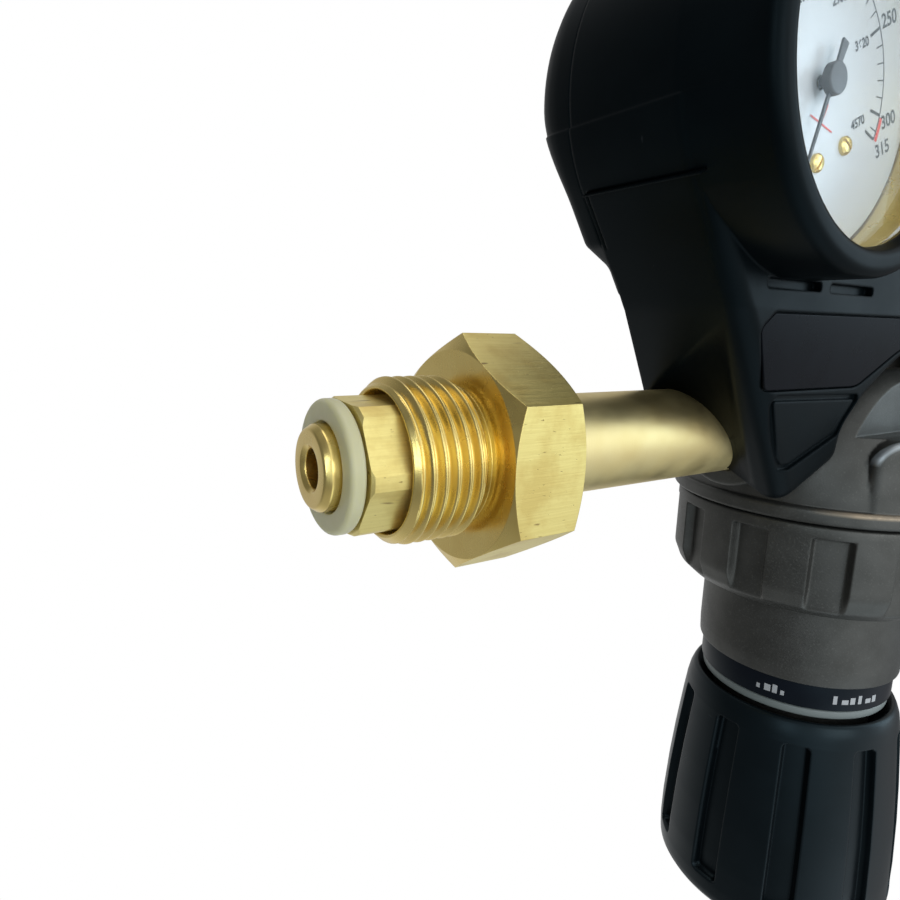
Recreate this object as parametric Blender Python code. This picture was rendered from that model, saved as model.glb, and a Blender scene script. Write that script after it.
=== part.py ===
# Gas pressure regulator: a single-stage cylinder regulator with two gauges under a black cover,
# a brass inlet with a captive nut, a hose outlet and an adjusting knob that points down.
# Metres, +Z up. The origin is the middle of the knob's flat end. The inlet points to -X,
# the gauges face -Y, and the knob, bonnet, ring nut and body stand on the Z axis.

import math

import bmesh
import bpy
from mathutils import Matrix, Vector

# Fits
FIT = 0.0003  # between pieces that touch
RUN_GAP = 0.0004  # between pieces that turn or slide on each other

# How many flats a round shape has
STEPS_LARGE = 36
STEPS_MEDIUM = 24
STEPS_SMALL = 12
ROUNDING_STEPS = 3

# Heights of the stack on the Z axis, from the knob's end up
KNOB_LENGTH = 0.0504
LIGHT_RING_HEIGHT = 0.0019
BAND_HEIGHT = 0.0064
BONNET_DRUM = 0.0161  # what shows of the bonnet between band and ring nut
RING_NUT_HEIGHT = 0.0197
RING_NUT_GAP = 0.0005  # groove between ring nut and body flange
FLANGE_THICKNESS = 0.003
INLET_RISE = 0.014  # inlet axis above the flange

LIGHT_RING_Z = KNOB_LENGTH + RUN_GAP
BAND_Z = LIGHT_RING_Z + LIGHT_RING_HEIGHT + FIT
BONNET_Z = BAND_Z + BAND_HEIGHT + FIT
RING_NUT_Z = BONNET_Z + BONNET_DRUM
RING_NUT_TOP = RING_NUT_Z + RING_NUT_HEIGHT
FLANGE_Z = RING_NUT_TOP + RING_NUT_GAP
FLANGE_TOP = FLANGE_Z + FLANGE_THICKNESS
INLET_Z = FLANGE_TOP + INLET_RISE

# Inlet, measured along the inlet axis away from the Z axis
NUT_REACH = 0.112  # front face of the nut
NOSE_OUT = 0.0095  # how far the nose stands out of the nut
INLET_REACH = NUT_REACH + NOSE_OUT  # tip of the nose
BORE_R = 0.00256
NOSE_R = 0.0057
NOSE_STEP = 0.0019  # how far the nose stands proud of the washer
WASHER_R = 0.00885
WASHER_THICKNESS = 0.0022
COLLAR_FLATS = 0.017
COLLAR_CORNER_R = 0.0093  # corners turned round
COLLAR_HEX = 0.0095
COLLAR_SHOULDER = 0.0035  # round shoulder that the nut bears on
SPIGOT_R = 0.0044  # threaded into the stem
SPIGOT_LENGTH = 0.009
STEM_R = 0.00808
STEM_BORE_R = 0.005
STEM_SEAT = 0.028  # where the stem ends inside the body
NUT_THREAD_R = 0.011455
NUT_THREAD_DEPTH = 0.00115
NUT_PITCH = 0.001814
NUT_THREAD_LENGTH = 0.0106
NUT_GROOVE = 0.0013
NUT_GROOVE_DEPTH = 0.0014
NUT_CHAMFER_IN = 0.01016  # where the front chamfer starts
NUT_HEX_FLATS = 0.03005
NUT_HEX_LENGTH = 0.012
NUT_CHAMFER_R = 0.01499
FILTER_LENGTH = 0.012

# Body
BODY_FLANGE_R = 0.0305
BODY_SKIRT_R = 0.0265
BODY_SKIRT_DEPTH = 0.011
DOME_R = 0.0293
DOME_TOP_R = 0.0138  # flat on top of the dome
DOME_FRONT = 0.0165  # flat on the front of the dome
SHOULDER_HALF = 0.0212  # half width of the front shoulder
SHOULDER_TOP = 0.0136  # shoulder above the flange
CROSSBAR_R = 0.0115
CROSSBAR_HALF = 0.036
CHAMBER_R = 0.022
CHAMBER_DEPTH = 0.008
PASSAGE_R = 0.0026
DRILL_R = 0.0018

# Valve, on the Z axis inside the body
SEAT_R = 0.0077
SEAT_HOLE_R = 0.0022
SEAT_HEIGHT = 0.005
VALVE_CHAMBER_R = 0.0068
VALVE_CHAMBER_LENGTH = 0.0176
POPPET_R = 0.0055
POPPET_HEAD = 0.0042
POPPET_STEM_R = 0.002
POPPET_STEM = 0.0145
PLUG_R = 0.0077
PLUG_HEAD_R = 0.0104
PLUG_HEAD = 0.003
PIN_R = 0.0015

# Diaphragm
DIAPHRAGM_R = 0.0256
DIAPHRAGM_THICKNESS = 0.0008
DIAPHRAGM_CROWN = 0.003  # how far its middle stands above the clamped rim
PLATE_R = 0.0135
PLATE_THICKNESS = 0.002
SPRING_PLATE_R = 0.0128
STUD_R = 0.0022

# Ring nut
RING_NUT_R = 0.0293
RING_NUT_RECESS = 0.0019
RING_NUT_LUGS = 12
RING_NUT_LIP = 0.0049
RING_NUT_CHAMFER = 0.0041
RING_NUT_CHAMFER_HEIGHT = 0.0057
RING_NUT_RIM = 0.0025  # plain rim above the recesses
RING_NUT_TURN = 148.5  # degrees, one side of a lug

# Bonnet
BONNET_R = 0.0214
BONNET_FLANGE_R = 0.0258
BONNET_FLANGE = 0.0026
BONNET_SPIGOT_R = 0.017
BONNET_SPIGOT = 0.0166
BONNET_CAVITY_R = 0.0146
BONNET_END = 0.0038
KEY_WIDTH = 0.003
KEY_HEIGHT = 0.0014
BAND_R = 0.0203
LIGHT_RING_R = 0.0198

# Adjusting gear
THRUST_WASHER_R = 0.009
THRUST_WASHER_THICKNESS = 0.001
SPINDLE_COLLAR_R = 0.008
SPINDLE_COLLAR = 0.002
SPINDLE_R = 0.005
CARRIER_R = 0.0142
CARRIER_THICKNESS = 0.0055
CARRIER_TRAVEL = 0.008
ADJUSTING_SPRING_R = 0.011
ADJUSTING_WIRE_R = 0.0015
ADJUSTING_TURNS = 4.5

# Knob
KNOB_TOP_R = 0.0222
KNOB_END_R = 0.0261
KNOB_MOUTH_R = 0.0206
KNOB_INSIDE_R = 0.0182
KNOB_HUB_R = 0.0095
KNOB_DRIVE_FLATS = 0.0086
KNOB_FLOOR = 0.009
KNOB_GRIPS = 10
KNOB_GRIP_WIDTH = 13.5  # degrees
KNOB_GRIP_TURN = -144.8  # degrees, middle of one grip
KNOB_GRIP_DEPTH = 0.0013
KNOB_GRIP_TOP = 0.005  # grips start this far below the knob's top
KNOB_GRIP_END = 0.006  # and stop this far above its end
KNOB_CAP_R = 0.014
KNOB_CAP_THICKNESS = 0.002
KNOB_SCREW_HEAD_R = 0.0045
KNOB_SCREW_HEAD = 0.0038
KNOB_SCREW_R = 0.0021

# Gauges, measured from the gauge's own middle, forward of the inlet axis
GAUGE_SPREAD = 0.0522
GAUGE_RISE = 0.0537
GAUGE_LEAN = 27.0  # degrees
GAUGE_CASE_R = 0.025
GAUGE_CASE_WALL = 0.001
GAUGE_BACK = -0.0035
GAUGE_FRONT = 0.028
DIAL_FRONT = 0.020
DIAL_THICKNESS = 0.0008
CRYSTAL_THICKNESS = 0.0016
SOCKET_WIDTH = 0.013
SOCKET_DEPTH = 0.0112
PORT_FACE = 0.02077  # face of the body's gauge port, along the stem from the inlet axis
SOCKET_REACH = GAUGE_RISE / math.cos(math.radians(GAUGE_LEAN)) - PORT_FACE  # socket's shoulder, from the gauge's middle
SOCKET_THREAD_R = 0.0064
SOCKET_THREAD = 0.0065
SOCKET_PLANE = 0.0035  # how far the socket's axis lies forward
PORT_R = 0.0084
GAUGE_DRILL_R = 0.0012
POINTER_LENGTH = 0.0175
POINTER_ZERO = -135.0  # degrees on the dial

# Cover
COVER_WALL = 0.0025
COVER_FRONT = 0.020
COVER_BACK = -0.0019  # back edge of the front cover round the gauges
COVER_ROUNDING = 0.003  # round the edge of the front
BARREL_WALL = 0.003  # from a gauge's case to the outside of the barrel
BARREL_R = GAUGE_CASE_R + BARREL_WALL
RIM_WALL = 0.0025
RIM_R = GAUGE_CASE_R + RIM_WALL
RIM_OVER = 0.0031  # how far the rim stands in front of the case
RIM_FRONT = GAUGE_FRONT + RIM_OVER
WINDOW_LIP = 0.0021  # how far the rim reaches in over the case
WINDOW_R = GAUGE_CASE_R - WINDOW_LIP
COVER_LEAN = 10.2  # degrees, the legs lean back below the bend
COVER_BEND = 0.022  # height of the bend above the inlet axis
REAR_WALL = 0.0016
REAR_CHAMFER = 0.0015
REAR_BACK = GAUGE_BACK - FIT - REAR_WALL
LABEL_THICKNESS = 0.0004
LABEL_RECESS = 0.0008
PANEL_RECESS = 0.0007
COVER_SCREW_R = 0.0014
COVER_SCREW_HEAD_R = 0.0028
COVER_SCREW_HEAD = 0.0012
COVER_SCREW_SUNK = 0.0003  # head below the back of the rear cover
COVER_SCREW_LENGTH = 0.011
COVER_POST_R = 0.0034

# Outlet, measured along its axis away from the Z axis
OUTLET_THREAD_R = 0.00833
OUTLET_THREAD_REACH = 0.060
OUTLET_REACH = 0.073
OUTLET_NUT_FLATS = 0.022
OUTLET_NUT_LENGTH = 0.016
TAIL_REACH = 0.107
TAIL_R = 0.0044
TAIL_BARB_R = 0.0051
TAIL_BARBS = 4
TAIL_BORE_R = 0.0024
TAIL_FLANGE_R = 0.0076
TAIL_FLANGE = 0.0024

# Safety valve, at the back of the dome
RELIEF_Y = 0.020
RELIEF_BOSS_R = 0.008
RELIEF_BOSS_TOP = 0.008  # above the inlet axis
RELIEF_SHANK_R = 0.005
RELIEF_SHANK = 0.009
RELIEF_HEX_FLATS = 0.013
RELIEF_HEX = 0.0055
RELIEF_CAP_R = 0.0055
RELIEF_CAP = 0.009
RELIEF_BORE_R = 0.0036
RELIEF_VENT_R = 0.0012
RELIEF_LIFT = 0.001

# Ways that local Z can point
UPWARD = Matrix.Identity(4)
TO_INLET = Matrix.Translation((0, 0, INLET_Z)) @ Matrix.Rotation(math.radians(-90), 4, "Y")
TO_OUTLET = Matrix.Translation((0, 0, INLET_Z)) @ Matrix.Rotation(math.radians(90), 4, "Y")
FACING = Matrix.Translation((0, 0, INLET_Z)) @ Matrix.Rotation(math.radians(90), 4, "X")
CLOCKED = Matrix.Rotation(math.radians(7), 4, "Z")  # keeps a bore's flats out of line with those round it

MATERIALS = {}


def material(name, colour, roughness, metallic):
    """A named Principled material."""
    made = bpy.data.materials.new(name)
    made.use_nodes = True
    shader = made.node_tree.nodes["Principled BSDF"]
    shader.inputs["Base Color"].default_value = (*colour, 1)
    shader.inputs["Roughness"].default_value = roughness
    shader.inputs["Metallic"].default_value = metallic
    MATERIALS[name] = made


def make_materials():
    material("brass", (0.66, 0.50, 0.22), 0.3, 1)
    material("dark_cast", (0.10, 0.095, 0.085), 0.45, 0.6)
    material("black_plastic", (0.012, 0.014, 0.017), 0.45, 0)
    material("nylon", (0.62, 0.62, 0.46), 0.4, 0)
    material("steel", (0.55, 0.55, 0.56), 0.3, 1)
    material("rubber", (0.03, 0.03, 0.03), 0.7, 0)
    material("pale_plastic", (0.42, 0.47, 0.44), 0.5, 0)
    material("dial_white", (0.80, 0.82, 0.84), 0.4, 0)
    material("clear_plastic", (0.9, 0.92, 0.93), 0.05, 0)
    material("bronze", (0.42, 0.27, 0.13), 0.6, 1)


def object_from(name, shape, finish, place):
    """Turns a bmesh into a placed object, smooth where it is round."""
    bmesh.ops.recalc_face_normals(shape, faces=shape.faces)
    mesh = bpy.data.meshes.new(name)
    shape.to_mesh(mesh)
    shape.free()
    mesh.shade_smooth()
    mesh.set_sharp_from_angle(angle=math.radians(34))
    if finish:
        mesh.materials.append(MATERIALS[finish])
    made = bpy.data.objects.new(name, mesh)
    bpy.context.scene.collection.objects.link(made)
    made.matrix_world = place
    return made


def turned(name, outline, steps, finish=None, place=UPWARD):
    """Spins a closed outline of (radius, height) pairs round local Z. Its side on the axis, if any, is left out."""
    shape = bmesh.new()
    points = [shape.verts.new((radius, 0, height)) for radius, height in outline]
    pairs = zip(points, points[1:] + points[:1])
    edges = [shape.edges.new(pair) for pair in pairs if pair[0].co.x > 0 or pair[1].co.x > 0]
    bmesh.ops.spin(
        shape, geom=points + edges, axis=(0, 0, 1), cent=(0, 0, 0),
        angle=math.tau, steps=steps, use_merge=True,
    )
    bmesh.ops.remove_doubles(shape, verts=shape.verts, dist=1e-6)
    return object_from(name, shape, finish, place)


def extruded(name, outline, low, high, finish=None, place=UPWARD):
    """Extrudes an outline of (x, y) pairs along local Z from low to high."""
    shape = bmesh.new()
    face = shape.faces.new([shape.verts.new((x, y, low)) for x, y in outline])
    grown = bmesh.ops.extrude_face_region(shape, geom=[face])["geom"]
    moved = [item for item in grown if isinstance(item, bmesh.types.BMVert)]
    bmesh.ops.translate(shape, verts=moved, vec=(0, 0, high - low))
    return object_from(name, shape, finish, place)


def layered(name, layers, finish=None, place=UPWARD):
    """Joins closed outlines with the same number of points, each at its own height, into one solid."""
    shape = bmesh.new()
    rings = [[shape.verts.new((x, y, height)) for x, y in outline] for outline, height in layers]
    shape.faces.new(rings[0])
    shape.faces.new(rings[-1])
    for lower, upper in zip(rings, rings[1:]):
        for i, vertex in enumerate(lower):
            after = (i + 1) % len(lower)
            shape.faces.new((vertex, lower[after], upper[after], upper[i]))
    return object_from(name, shape, finish, place)


def coil(name, radius, wire_r, turns, low, high, steps, sides, finish, place=UPWARD):
    """A compression spring: wire on a helix, with its ends lying nearly flat."""
    shape = bmesh.new()
    count = round(turns * steps)
    rings = []
    for i in range(count + 1):
        turn = i / steps
        share = i / count
        rise = share * share * (3 - 2 * share) * 0.35 + share * 0.65
        height = low + wire_r + rise * (high - low - 2 * wire_r)
        angle = math.tau * turn
        out = Vector((math.cos(angle), math.sin(angle), 0))
        centre = out * radius + Vector((0, 0, height))
        ring = []
        for side in range(sides):
            way = math.tau * side / sides
            ring.append(shape.verts.new(centre + out * wire_r * math.cos(way) + Vector((0, 0, wire_r * math.sin(way)))))
        rings.append(ring)
    for lower, upper in zip(rings, rings[1:]):
        for side in range(sides):
            other = (side + 1) % sides
            shape.faces.new((lower[side], lower[other], upper[other], upper[side]))
    shape.faces.new(rings[0])
    shape.faces.new(rings[-1])
    return object_from(name, shape, finish, place)


def regular(sides, flats, turn=0.0):
    """Corners of a regular polygon with this width across flats."""
    corner = flats / 2 / math.cos(math.pi / sides)
    return [
        (corner * math.cos(math.tau * i / sides + turn), corner * math.sin(math.tau * i / sides + turn))
        for i in range(sides)
    ]


def arc(centre, radius, start, end, steps):
    """Points on a circle between two angles in degrees."""
    found = []
    for i in range(steps + 1):
        angle = math.radians(start + (end - start) * i / steps)
        found.append((centre[0] + radius * math.cos(angle), centre[1] + radius * math.sin(angle)))
    return found


def mirrored(half):
    """Adds the mirror image of a left half outline, which starts and ends near the middle."""
    return half + [(-x, y) for x, y in reversed(half) if x != 0]


def grown(outline, by):
    """Moves each side of a closed outline outwards by a distance, or inwards when it is negative."""
    area = sum(a[0] * b[1] - b[0] * a[1] for a, b in zip(outline, outline[1:] + outline[:1]))
    sign = 1 if area > 0 else -1
    found = []
    for i, point in enumerate(outline):
        here = Vector(point)
        before = (here - Vector(outline[i - 1])).normalized()
        after = (Vector(outline[(i + 1) % len(outline)]) - here).normalized()
        normal_before = Vector((before.y, -before.x)) * sign
        normal_after = Vector((after.y, -after.x)) * sign
        middle = (normal_before + normal_after).normalized()
        found.append(tuple(here + middle * by / max(middle.dot(normal_after), 0.3)))
    return found


def helper(tool):
    """Keeps a cutter or an added shape out of the finished model."""
    tool.hide_render = True
    tool.display_type = "WIRE"
    return tool


def combine(target, tool, operation):
    step = target.modifiers.new(tool.name, "BOOLEAN")
    step.operation = operation
    step.object = helper(tool)
    step.solver = "EXACT"
    return target


def cut(target, *tools):
    for tool in tools:
        combine(target, tool, "DIFFERENCE")


def join(target, *tools):
    for tool in tools:
        combine(target, tool, "UNION")


def keep(target, tool):
    combine(target, tool, "INTERSECT")


def threaded_rod(name, radius, depth, pitch, low, high, steps):
    """A helical V thread on a rod, one start, longer than what is kept of it."""
    shape = bmesh.new()
    shares = ((0.0, 0.0), (0.5, 1.0))  # share of a pitch, share of the thread's depth
    turns = math.ceil((high - low) / pitch) + 2
    columns = []
    for i in range(steps):
        angle = math.tau * i / steps
        column = []
        for turn in range(turns):
            for along, deep in shares:
                height = low + pitch * (turn - 1 + along + i / steps)
                reach = radius - depth * deep
                column.append(shape.verts.new((reach * math.cos(angle), reach * math.sin(angle), height)))
        columns.append(column)
    rows = turns * len(shares)
    for i in range(steps):
        this, after = columns[i], columns[(i + 1) % steps]
        shift = len(shares) if i == steps - 1 else 0
        for row in range(rows - 1 - shift):
            shape.faces.new((this[row], this[row + 1], after[row + shift + 1], after[row + shift]))
    ends = [edge for edge in shape.edges if edge.is_boundary]
    bottom = shape.verts.new((0, 0, low - 2 * pitch))
    top = shape.verts.new((0, 0, high + 3 * pitch))
    middle = (low + high) / 2
    for edge in ends:
        tip = bottom if (edge.verts[0].co.z + edge.verts[1].co.z) / 2 < middle else top
        shape.faces.new((edge.verts[0], edge.verts[1], tip))
    return object_from(name, shape, None, UPWARD)


def chamfered_hex(name, flats, chamfer_r, low, high, finish=None, place=UPWARD, turn=0.0):
    """A hexagon whose corners are turned off at both ends."""
    corner = flats / math.sqrt(3)
    drop = (corner - chamfer_r) * math.tan(math.radians(30))
    made = extruded(name, regular(6, flats, turn), low, high, finish, place)
    cone = turned(
        name + "_turning",
        [(0, low - FIT), (chamfer_r - FIT, low - FIT), (corner + FIT, low + drop),
         (corner + FIT, high - drop), (chamfer_r - FIT, high + FIT), (0, high + FIT)],
        STEPS_MEDIUM, None, place,
    )
    keep(made, cone)
    return made


def make_inlet():
    """Nipple, washer, nut, stem and filter, on the inlet axis."""
    washer_front = INLET_REACH - NOSE_STEP
    collar_front = washer_front - WASHER_THICKNESS - FIT
    shoulder_front = collar_front - COLLAR_HEX
    shoulder_back = shoulder_front - COLLAR_SHOULDER
    spigot_end = shoulder_back - SPIGOT_LENGTH
    nipple = turned(
        "inlet_nipple",
        [(BORE_R, INLET_REACH - 0.0006), (BORE_R + 0.0006, INLET_REACH), (NOSE_R - 0.0008, INLET_REACH),
         (NOSE_R, INLET_REACH - 0.0008), (NOSE_R, collar_front), (COLLAR_CORNER_R - 0.0008, collar_front),
         (COLLAR_CORNER_R, collar_front - 0.0005), (COLLAR_CORNER_R, shoulder_back), (SPIGOT_R, shoulder_back),
         (SPIGOT_R, spigot_end), (BORE_R, spigot_end)],
        STEPS_MEDIUM, "brass", TO_INLET,
    )
    flats = extruded("collar_flats", regular(6, COLLAR_FLATS, math.radians(26)),
                     shoulder_front, collar_front + FIT, None, TO_INLET)
    sleeve = turned("collar_waste", [(NOSE_R + FIT / 2, shoulder_front), (0.012, shoulder_front),
                                     (0.012, collar_front + 2 * FIT), (NOSE_R + FIT / 2, collar_front + 2 * FIT)],
                    STEPS_SMALL, None, TO_INLET)
    cut(sleeve, flats)
    cut(nipple, sleeve)
    turned(
        "inlet_washer",
        [(NOSE_R + FIT, washer_front), (WASHER_R - 0.0005, washer_front), (WASHER_R, washer_front - 0.0005),
         (WASHER_R, collar_front + FIT), (NOSE_R + FIT, collar_front + FIT)],
        STEPS_MEDIUM, "nylon", TO_INLET,
    )
    turned(
        "inlet_stem",
        [(STEM_R, STEM_SEAT + 2 * FIT), (STEM_R, shoulder_back - FIT), (SPIGOT_R + FIT, shoulder_back - FIT),
         (SPIGOT_R + FIT, spigot_end - FIT), (STEM_BORE_R, spigot_end - FIT), (STEM_BORE_R, STEM_SEAT + 2 * FIT)],
        STEPS_MEDIUM, "brass", TO_INLET,
    )
    turned(
        "inlet_filter",
        [(0, spigot_end - FILTER_LENGTH), (STEM_BORE_R - FIT, spigot_end - FILTER_LENGTH),
         (STEM_BORE_R - FIT, spigot_end - 2 * FIT), (0.0035, spigot_end - 2 * FIT),
         (0.0035, spigot_end - FILTER_LENGTH + 0.002), (0, spigot_end - FILTER_LENGTH + 0.002)],
        STEPS_SMALL, "bronze", TO_INLET,
    )
    make_inlet_nut(shoulder_back)


def make_inlet_nut(shoulder_back):
    """The hexagon nut, whose thread is one helix. Its inner step bears on the nipple's shoulder."""
    hex_front = NUT_REACH - NUT_THREAD_LENGTH - NUT_GROOVE
    hex_back = hex_front - NUT_HEX_LENGTH
    nut = chamfered_hex("inlet_nut", NUT_HEX_FLATS, NUT_CHAMFER_R, hex_back, hex_front, "brass", TO_INLET)
    thread = threaded_rod("nut_thread", NUT_THREAD_R, NUT_THREAD_DEPTH, NUT_PITCH, hex_front, NUT_REACH, STEPS_MEDIUM)
    thread.matrix_world = TO_INLET
    groove_r = NUT_THREAD_R - NUT_GROOVE_DEPTH
    envelope = turned(
        "thread_envelope",
        [(0, hex_front - 0.0015), (groove_r, hex_front - 0.0015), (groove_r, hex_front + NUT_GROOVE - 0.0006),
         (NUT_THREAD_R + FIT, hex_front + NUT_GROOVE + 0.0008), (NUT_THREAD_R + FIT, NUT_REACH - 0.0014),
         (NUT_CHAMFER_IN, NUT_REACH), (0, NUT_REACH)],
        STEPS_MEDIUM, None, TO_INLET,
    )
    keep(thread, envelope)
    join(nut, thread)
    bore = turned(
        "nut_bore",
        [(0, hex_back - 0.002), (STEM_R + RUN_GAP, hex_back - 0.002), (STEM_R + RUN_GAP, shoulder_back - FIT),
         (COLLAR_CORNER_R + RUN_GAP, shoulder_back - FIT), (COLLAR_CORNER_R + RUN_GAP, NUT_REACH + 0.001),
         (0, NUT_REACH + 0.001)],
        STEPS_MEDIUM, None, TO_INLET,
    )
    cut(nut, bore)


def gauge_place(side):
    """The frame of one gauge: X to the right of its dial, Y up the dial, Z out of the dial. Side is -1 or 1."""
    middle = Matrix.Translation((side * GAUGE_SPREAD, 0, INLET_Z + GAUGE_RISE))
    turn = Matrix.Rotation(math.radians(90), 4, "X")
    lean = Matrix.Rotation(math.radians(-side * GAUGE_LEAN), 4, "Z")
    return middle @ turn @ lean


def down_stem(side, low_forward=SOCKET_PLANE):
    """The frame of a gauge's socket: Z runs from the gauge's middle down its stem."""
    return gauge_place(side) @ Matrix.Translation((0, 0, low_forward)) @ Matrix.Rotation(math.radians(90), 4, "X")


def make_body():
    """The cast body: skirt, flange, dome, front shoulder, crossbar, gauge ports and all its bores."""
    skirt_z = FLANGE_Z - BODY_SKIRT_DEPTH
    dome_end = math.degrees(math.acos(DOME_TOP_R / DOME_R))
    dome = arc((0, FLANGE_TOP), DOME_R, 0, dome_end, 6)
    body = turned(
        "body",
        [(0, skirt_z), (BODY_SKIRT_R, skirt_z), (BODY_SKIRT_R, FLANGE_Z), (BODY_FLANGE_R - 0.0005, FLANGE_Z),
         (BODY_FLANGE_R, FLANGE_Z + 0.0005), (BODY_FLANGE_R, FLANGE_TOP - 0.0006),
         (BODY_FLANGE_R - 0.0006, FLANGE_TOP)] + dome + [(0, dome[-1][1])],
        STEPS_LARGE, "dark_cast",
    )
    front = extruded(
        "dome_front", [(-0.04, -INLET_RISE + SHOULDER_TOP), (0.04, -INLET_RISE + SHOULDER_TOP), (0.04, 0.03), (-0.04, 0.03)],
        DOME_FRONT, 0.04, None, FACING,
    )
    cut(body, front)
    corner = 0.005
    top = SHOULDER_TOP - INLET_RISE
    block = (
        [(SHOULDER_HALF, -INLET_RISE - 0.0015)] + arc((SHOULDER_HALF - corner, top - corner), corner, 0, 90, 4)
        + arc((corner - SHOULDER_HALF, top - corner), corner, 90, 180, 4) + [(-SHOULDER_HALF, -INLET_RISE - 0.0015)]
    )
    shoulder = extruded("front_shoulder", block, 0.004, 0.034, None, FACING)
    drum_r = DOME_R + 0.0002
    drum = turned("shoulder_drum", [(0, FLANGE_Z), (drum_r, FLANGE_Z), (drum_r, INLET_Z - 0.0012),
                                    (drum_r - 0.0012, INLET_Z + 0.001), (0, INLET_Z + 0.001)], STEPS_LARGE)
    keep(shoulder, drum)
    crossbar = turned("crossbar", [(0, -CROSSBAR_HALF), (CROSSBAR_R, -CROSSBAR_HALF), (CROSSBAR_R, CROSSBAR_HALF),
                                   (0, CROSSBAR_HALF)], STEPS_MEDIUM, None, TO_OUTLET)
    join(body, shoulder, crossbar)
    boss_top = INLET_Z + RELIEF_BOSS_TOP
    relief_boss = turned("relief_boss", [(0, FLANGE_Z + 0.001), (RELIEF_BOSS_R, FLANGE_Z + 0.001),
                                         (RELIEF_BOSS_R, boss_top + 0.001), (0, boss_top + 0.001)], 16, None,
                         Matrix.Translation((0, RELIEF_Y, 0)))
    join(body, relief_boss)
    for side in (-1, 1):
        port_end = GAUGE_RISE / math.cos(math.radians(GAUGE_LEAN))
        port = turned(f"port_boss_{side}", [(0, SOCKET_REACH + FIT), (PORT_R, SOCKET_REACH + FIT), (PORT_R, port_end),
                                            (0, port_end)], 20, None, down_stem(side))
        join(body, port)
    cut_body_bores(body, skirt_z)
    return body


def cut_body_bores(body, skirt_z):
    roof = skirt_z + CHAMBER_DEPTH
    seat_top = roof + 0.0021 + SEAT_HEIGHT
    chamber_top = seat_top + VALVE_CHAMBER_LENGTH
    bore = turned(
        "body_bore",
        [(0, skirt_z - 0.005), (CHAMBER_R, skirt_z - 0.005), (CHAMBER_R, roof), (SEAT_R + FIT, roof),
         (SEAT_R + FIT, seat_top), (VALVE_CHAMBER_R, seat_top), (VALVE_CHAMBER_R, chamber_top),
         (PLUG_R + FIT, chamber_top), (PLUG_R + FIT, INLET_Z + 0.03), (0, INLET_Z + 0.03)],
        16, None, CLOCKED,
    )
    cut(body, bore)
    for name, place in (("inlet_bore", TO_INLET), ("outlet_bore", TO_OUTLET)):
        reach = VALVE_CHAMBER_R - 0.002 if name == "inlet_bore" else VALVE_CHAMBER_R + 0.0045
        cut(body, turned(
            name,
            [(0, reach), (PASSAGE_R, reach), (PASSAGE_R, STEM_SEAT), (STEM_R + FIT, STEM_SEAT),
             (STEM_R + FIT, CROSSBAR_HALF + 0.005), (0, CROSSBAR_HALF + 0.005)],
            16, None, place @ CLOCKED,
        ))
    drill = turned("low_pressure_drill", [(0, roof - 0.002), (DRILL_R, roof - 0.002), (DRILL_R, INLET_Z), (0, INLET_Z)],
                   6, None, Matrix.Translation((VALVE_CHAMBER_R + 0.0075, 0, 0)))
    cut(body, drill)
    for side in (-1, 1):
        bottom = SOCKET_REACH + SOCKET_THREAD + FIT
        cut(body, turned(
            f"port_bore_{side}",
            [(0, SOCKET_REACH - 0.003), (SOCKET_THREAD_R + FIT, SOCKET_REACH - 0.003), (SOCKET_THREAD_R + FIT, bottom),
             (0, bottom)],
            12, None, down_stem(side) @ CLOCKED,
        ))
        drill_place = Matrix.Translation((side * (STEM_SEAT - GAUGE_DRILL_R - 0.0006), -SOCKET_PLANE / 2, 0))
        cut(body, turned(f"gauge_drill_{side}", [(0, INLET_Z), (GAUGE_DRILL_R, INLET_Z),
                                                 (GAUGE_DRILL_R, INLET_Z + 0.0158), (0, INLET_Z + 0.0158)],
                         6, None, drill_place))
    boss_top = INLET_Z + RELIEF_BOSS_TOP
    cut(body, turned(
        "relief_bore",
        [(0, roof - 0.002), (0.0016, roof - 0.002), (0.0016, boss_top - RELIEF_SHANK - 2 * FIT),
         (RELIEF_SHANK_R + FIT, boss_top - RELIEF_SHANK - 2 * FIT), (RELIEF_SHANK_R + FIT, boss_top),
         (RELIEF_BOSS_R + 0.0005, boss_top), (RELIEF_BOSS_R + 0.0005, boss_top + 0.01), (0, boss_top + 0.01)],
        10, None, Matrix.Translation((0, RELIEF_Y, 0)) @ CLOCKED,
    ))
    for side in (-1, 1):
        around = [(0.0500, 0.0072), (0.0381, -0.0124), (0.0340, -0.0127), (0.0212, -0.0054), (0.0221, 0.0010),
                  (0.0203, 0.0050), (0.0186, 0.0072)]
        pocket = [(side * x, height) for x, height in around]
        cut(body, extruded(f"foot_pocket_{side}", pocket, COVER_FRONT - 0.0104, 0.04, None, FACING))


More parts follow.
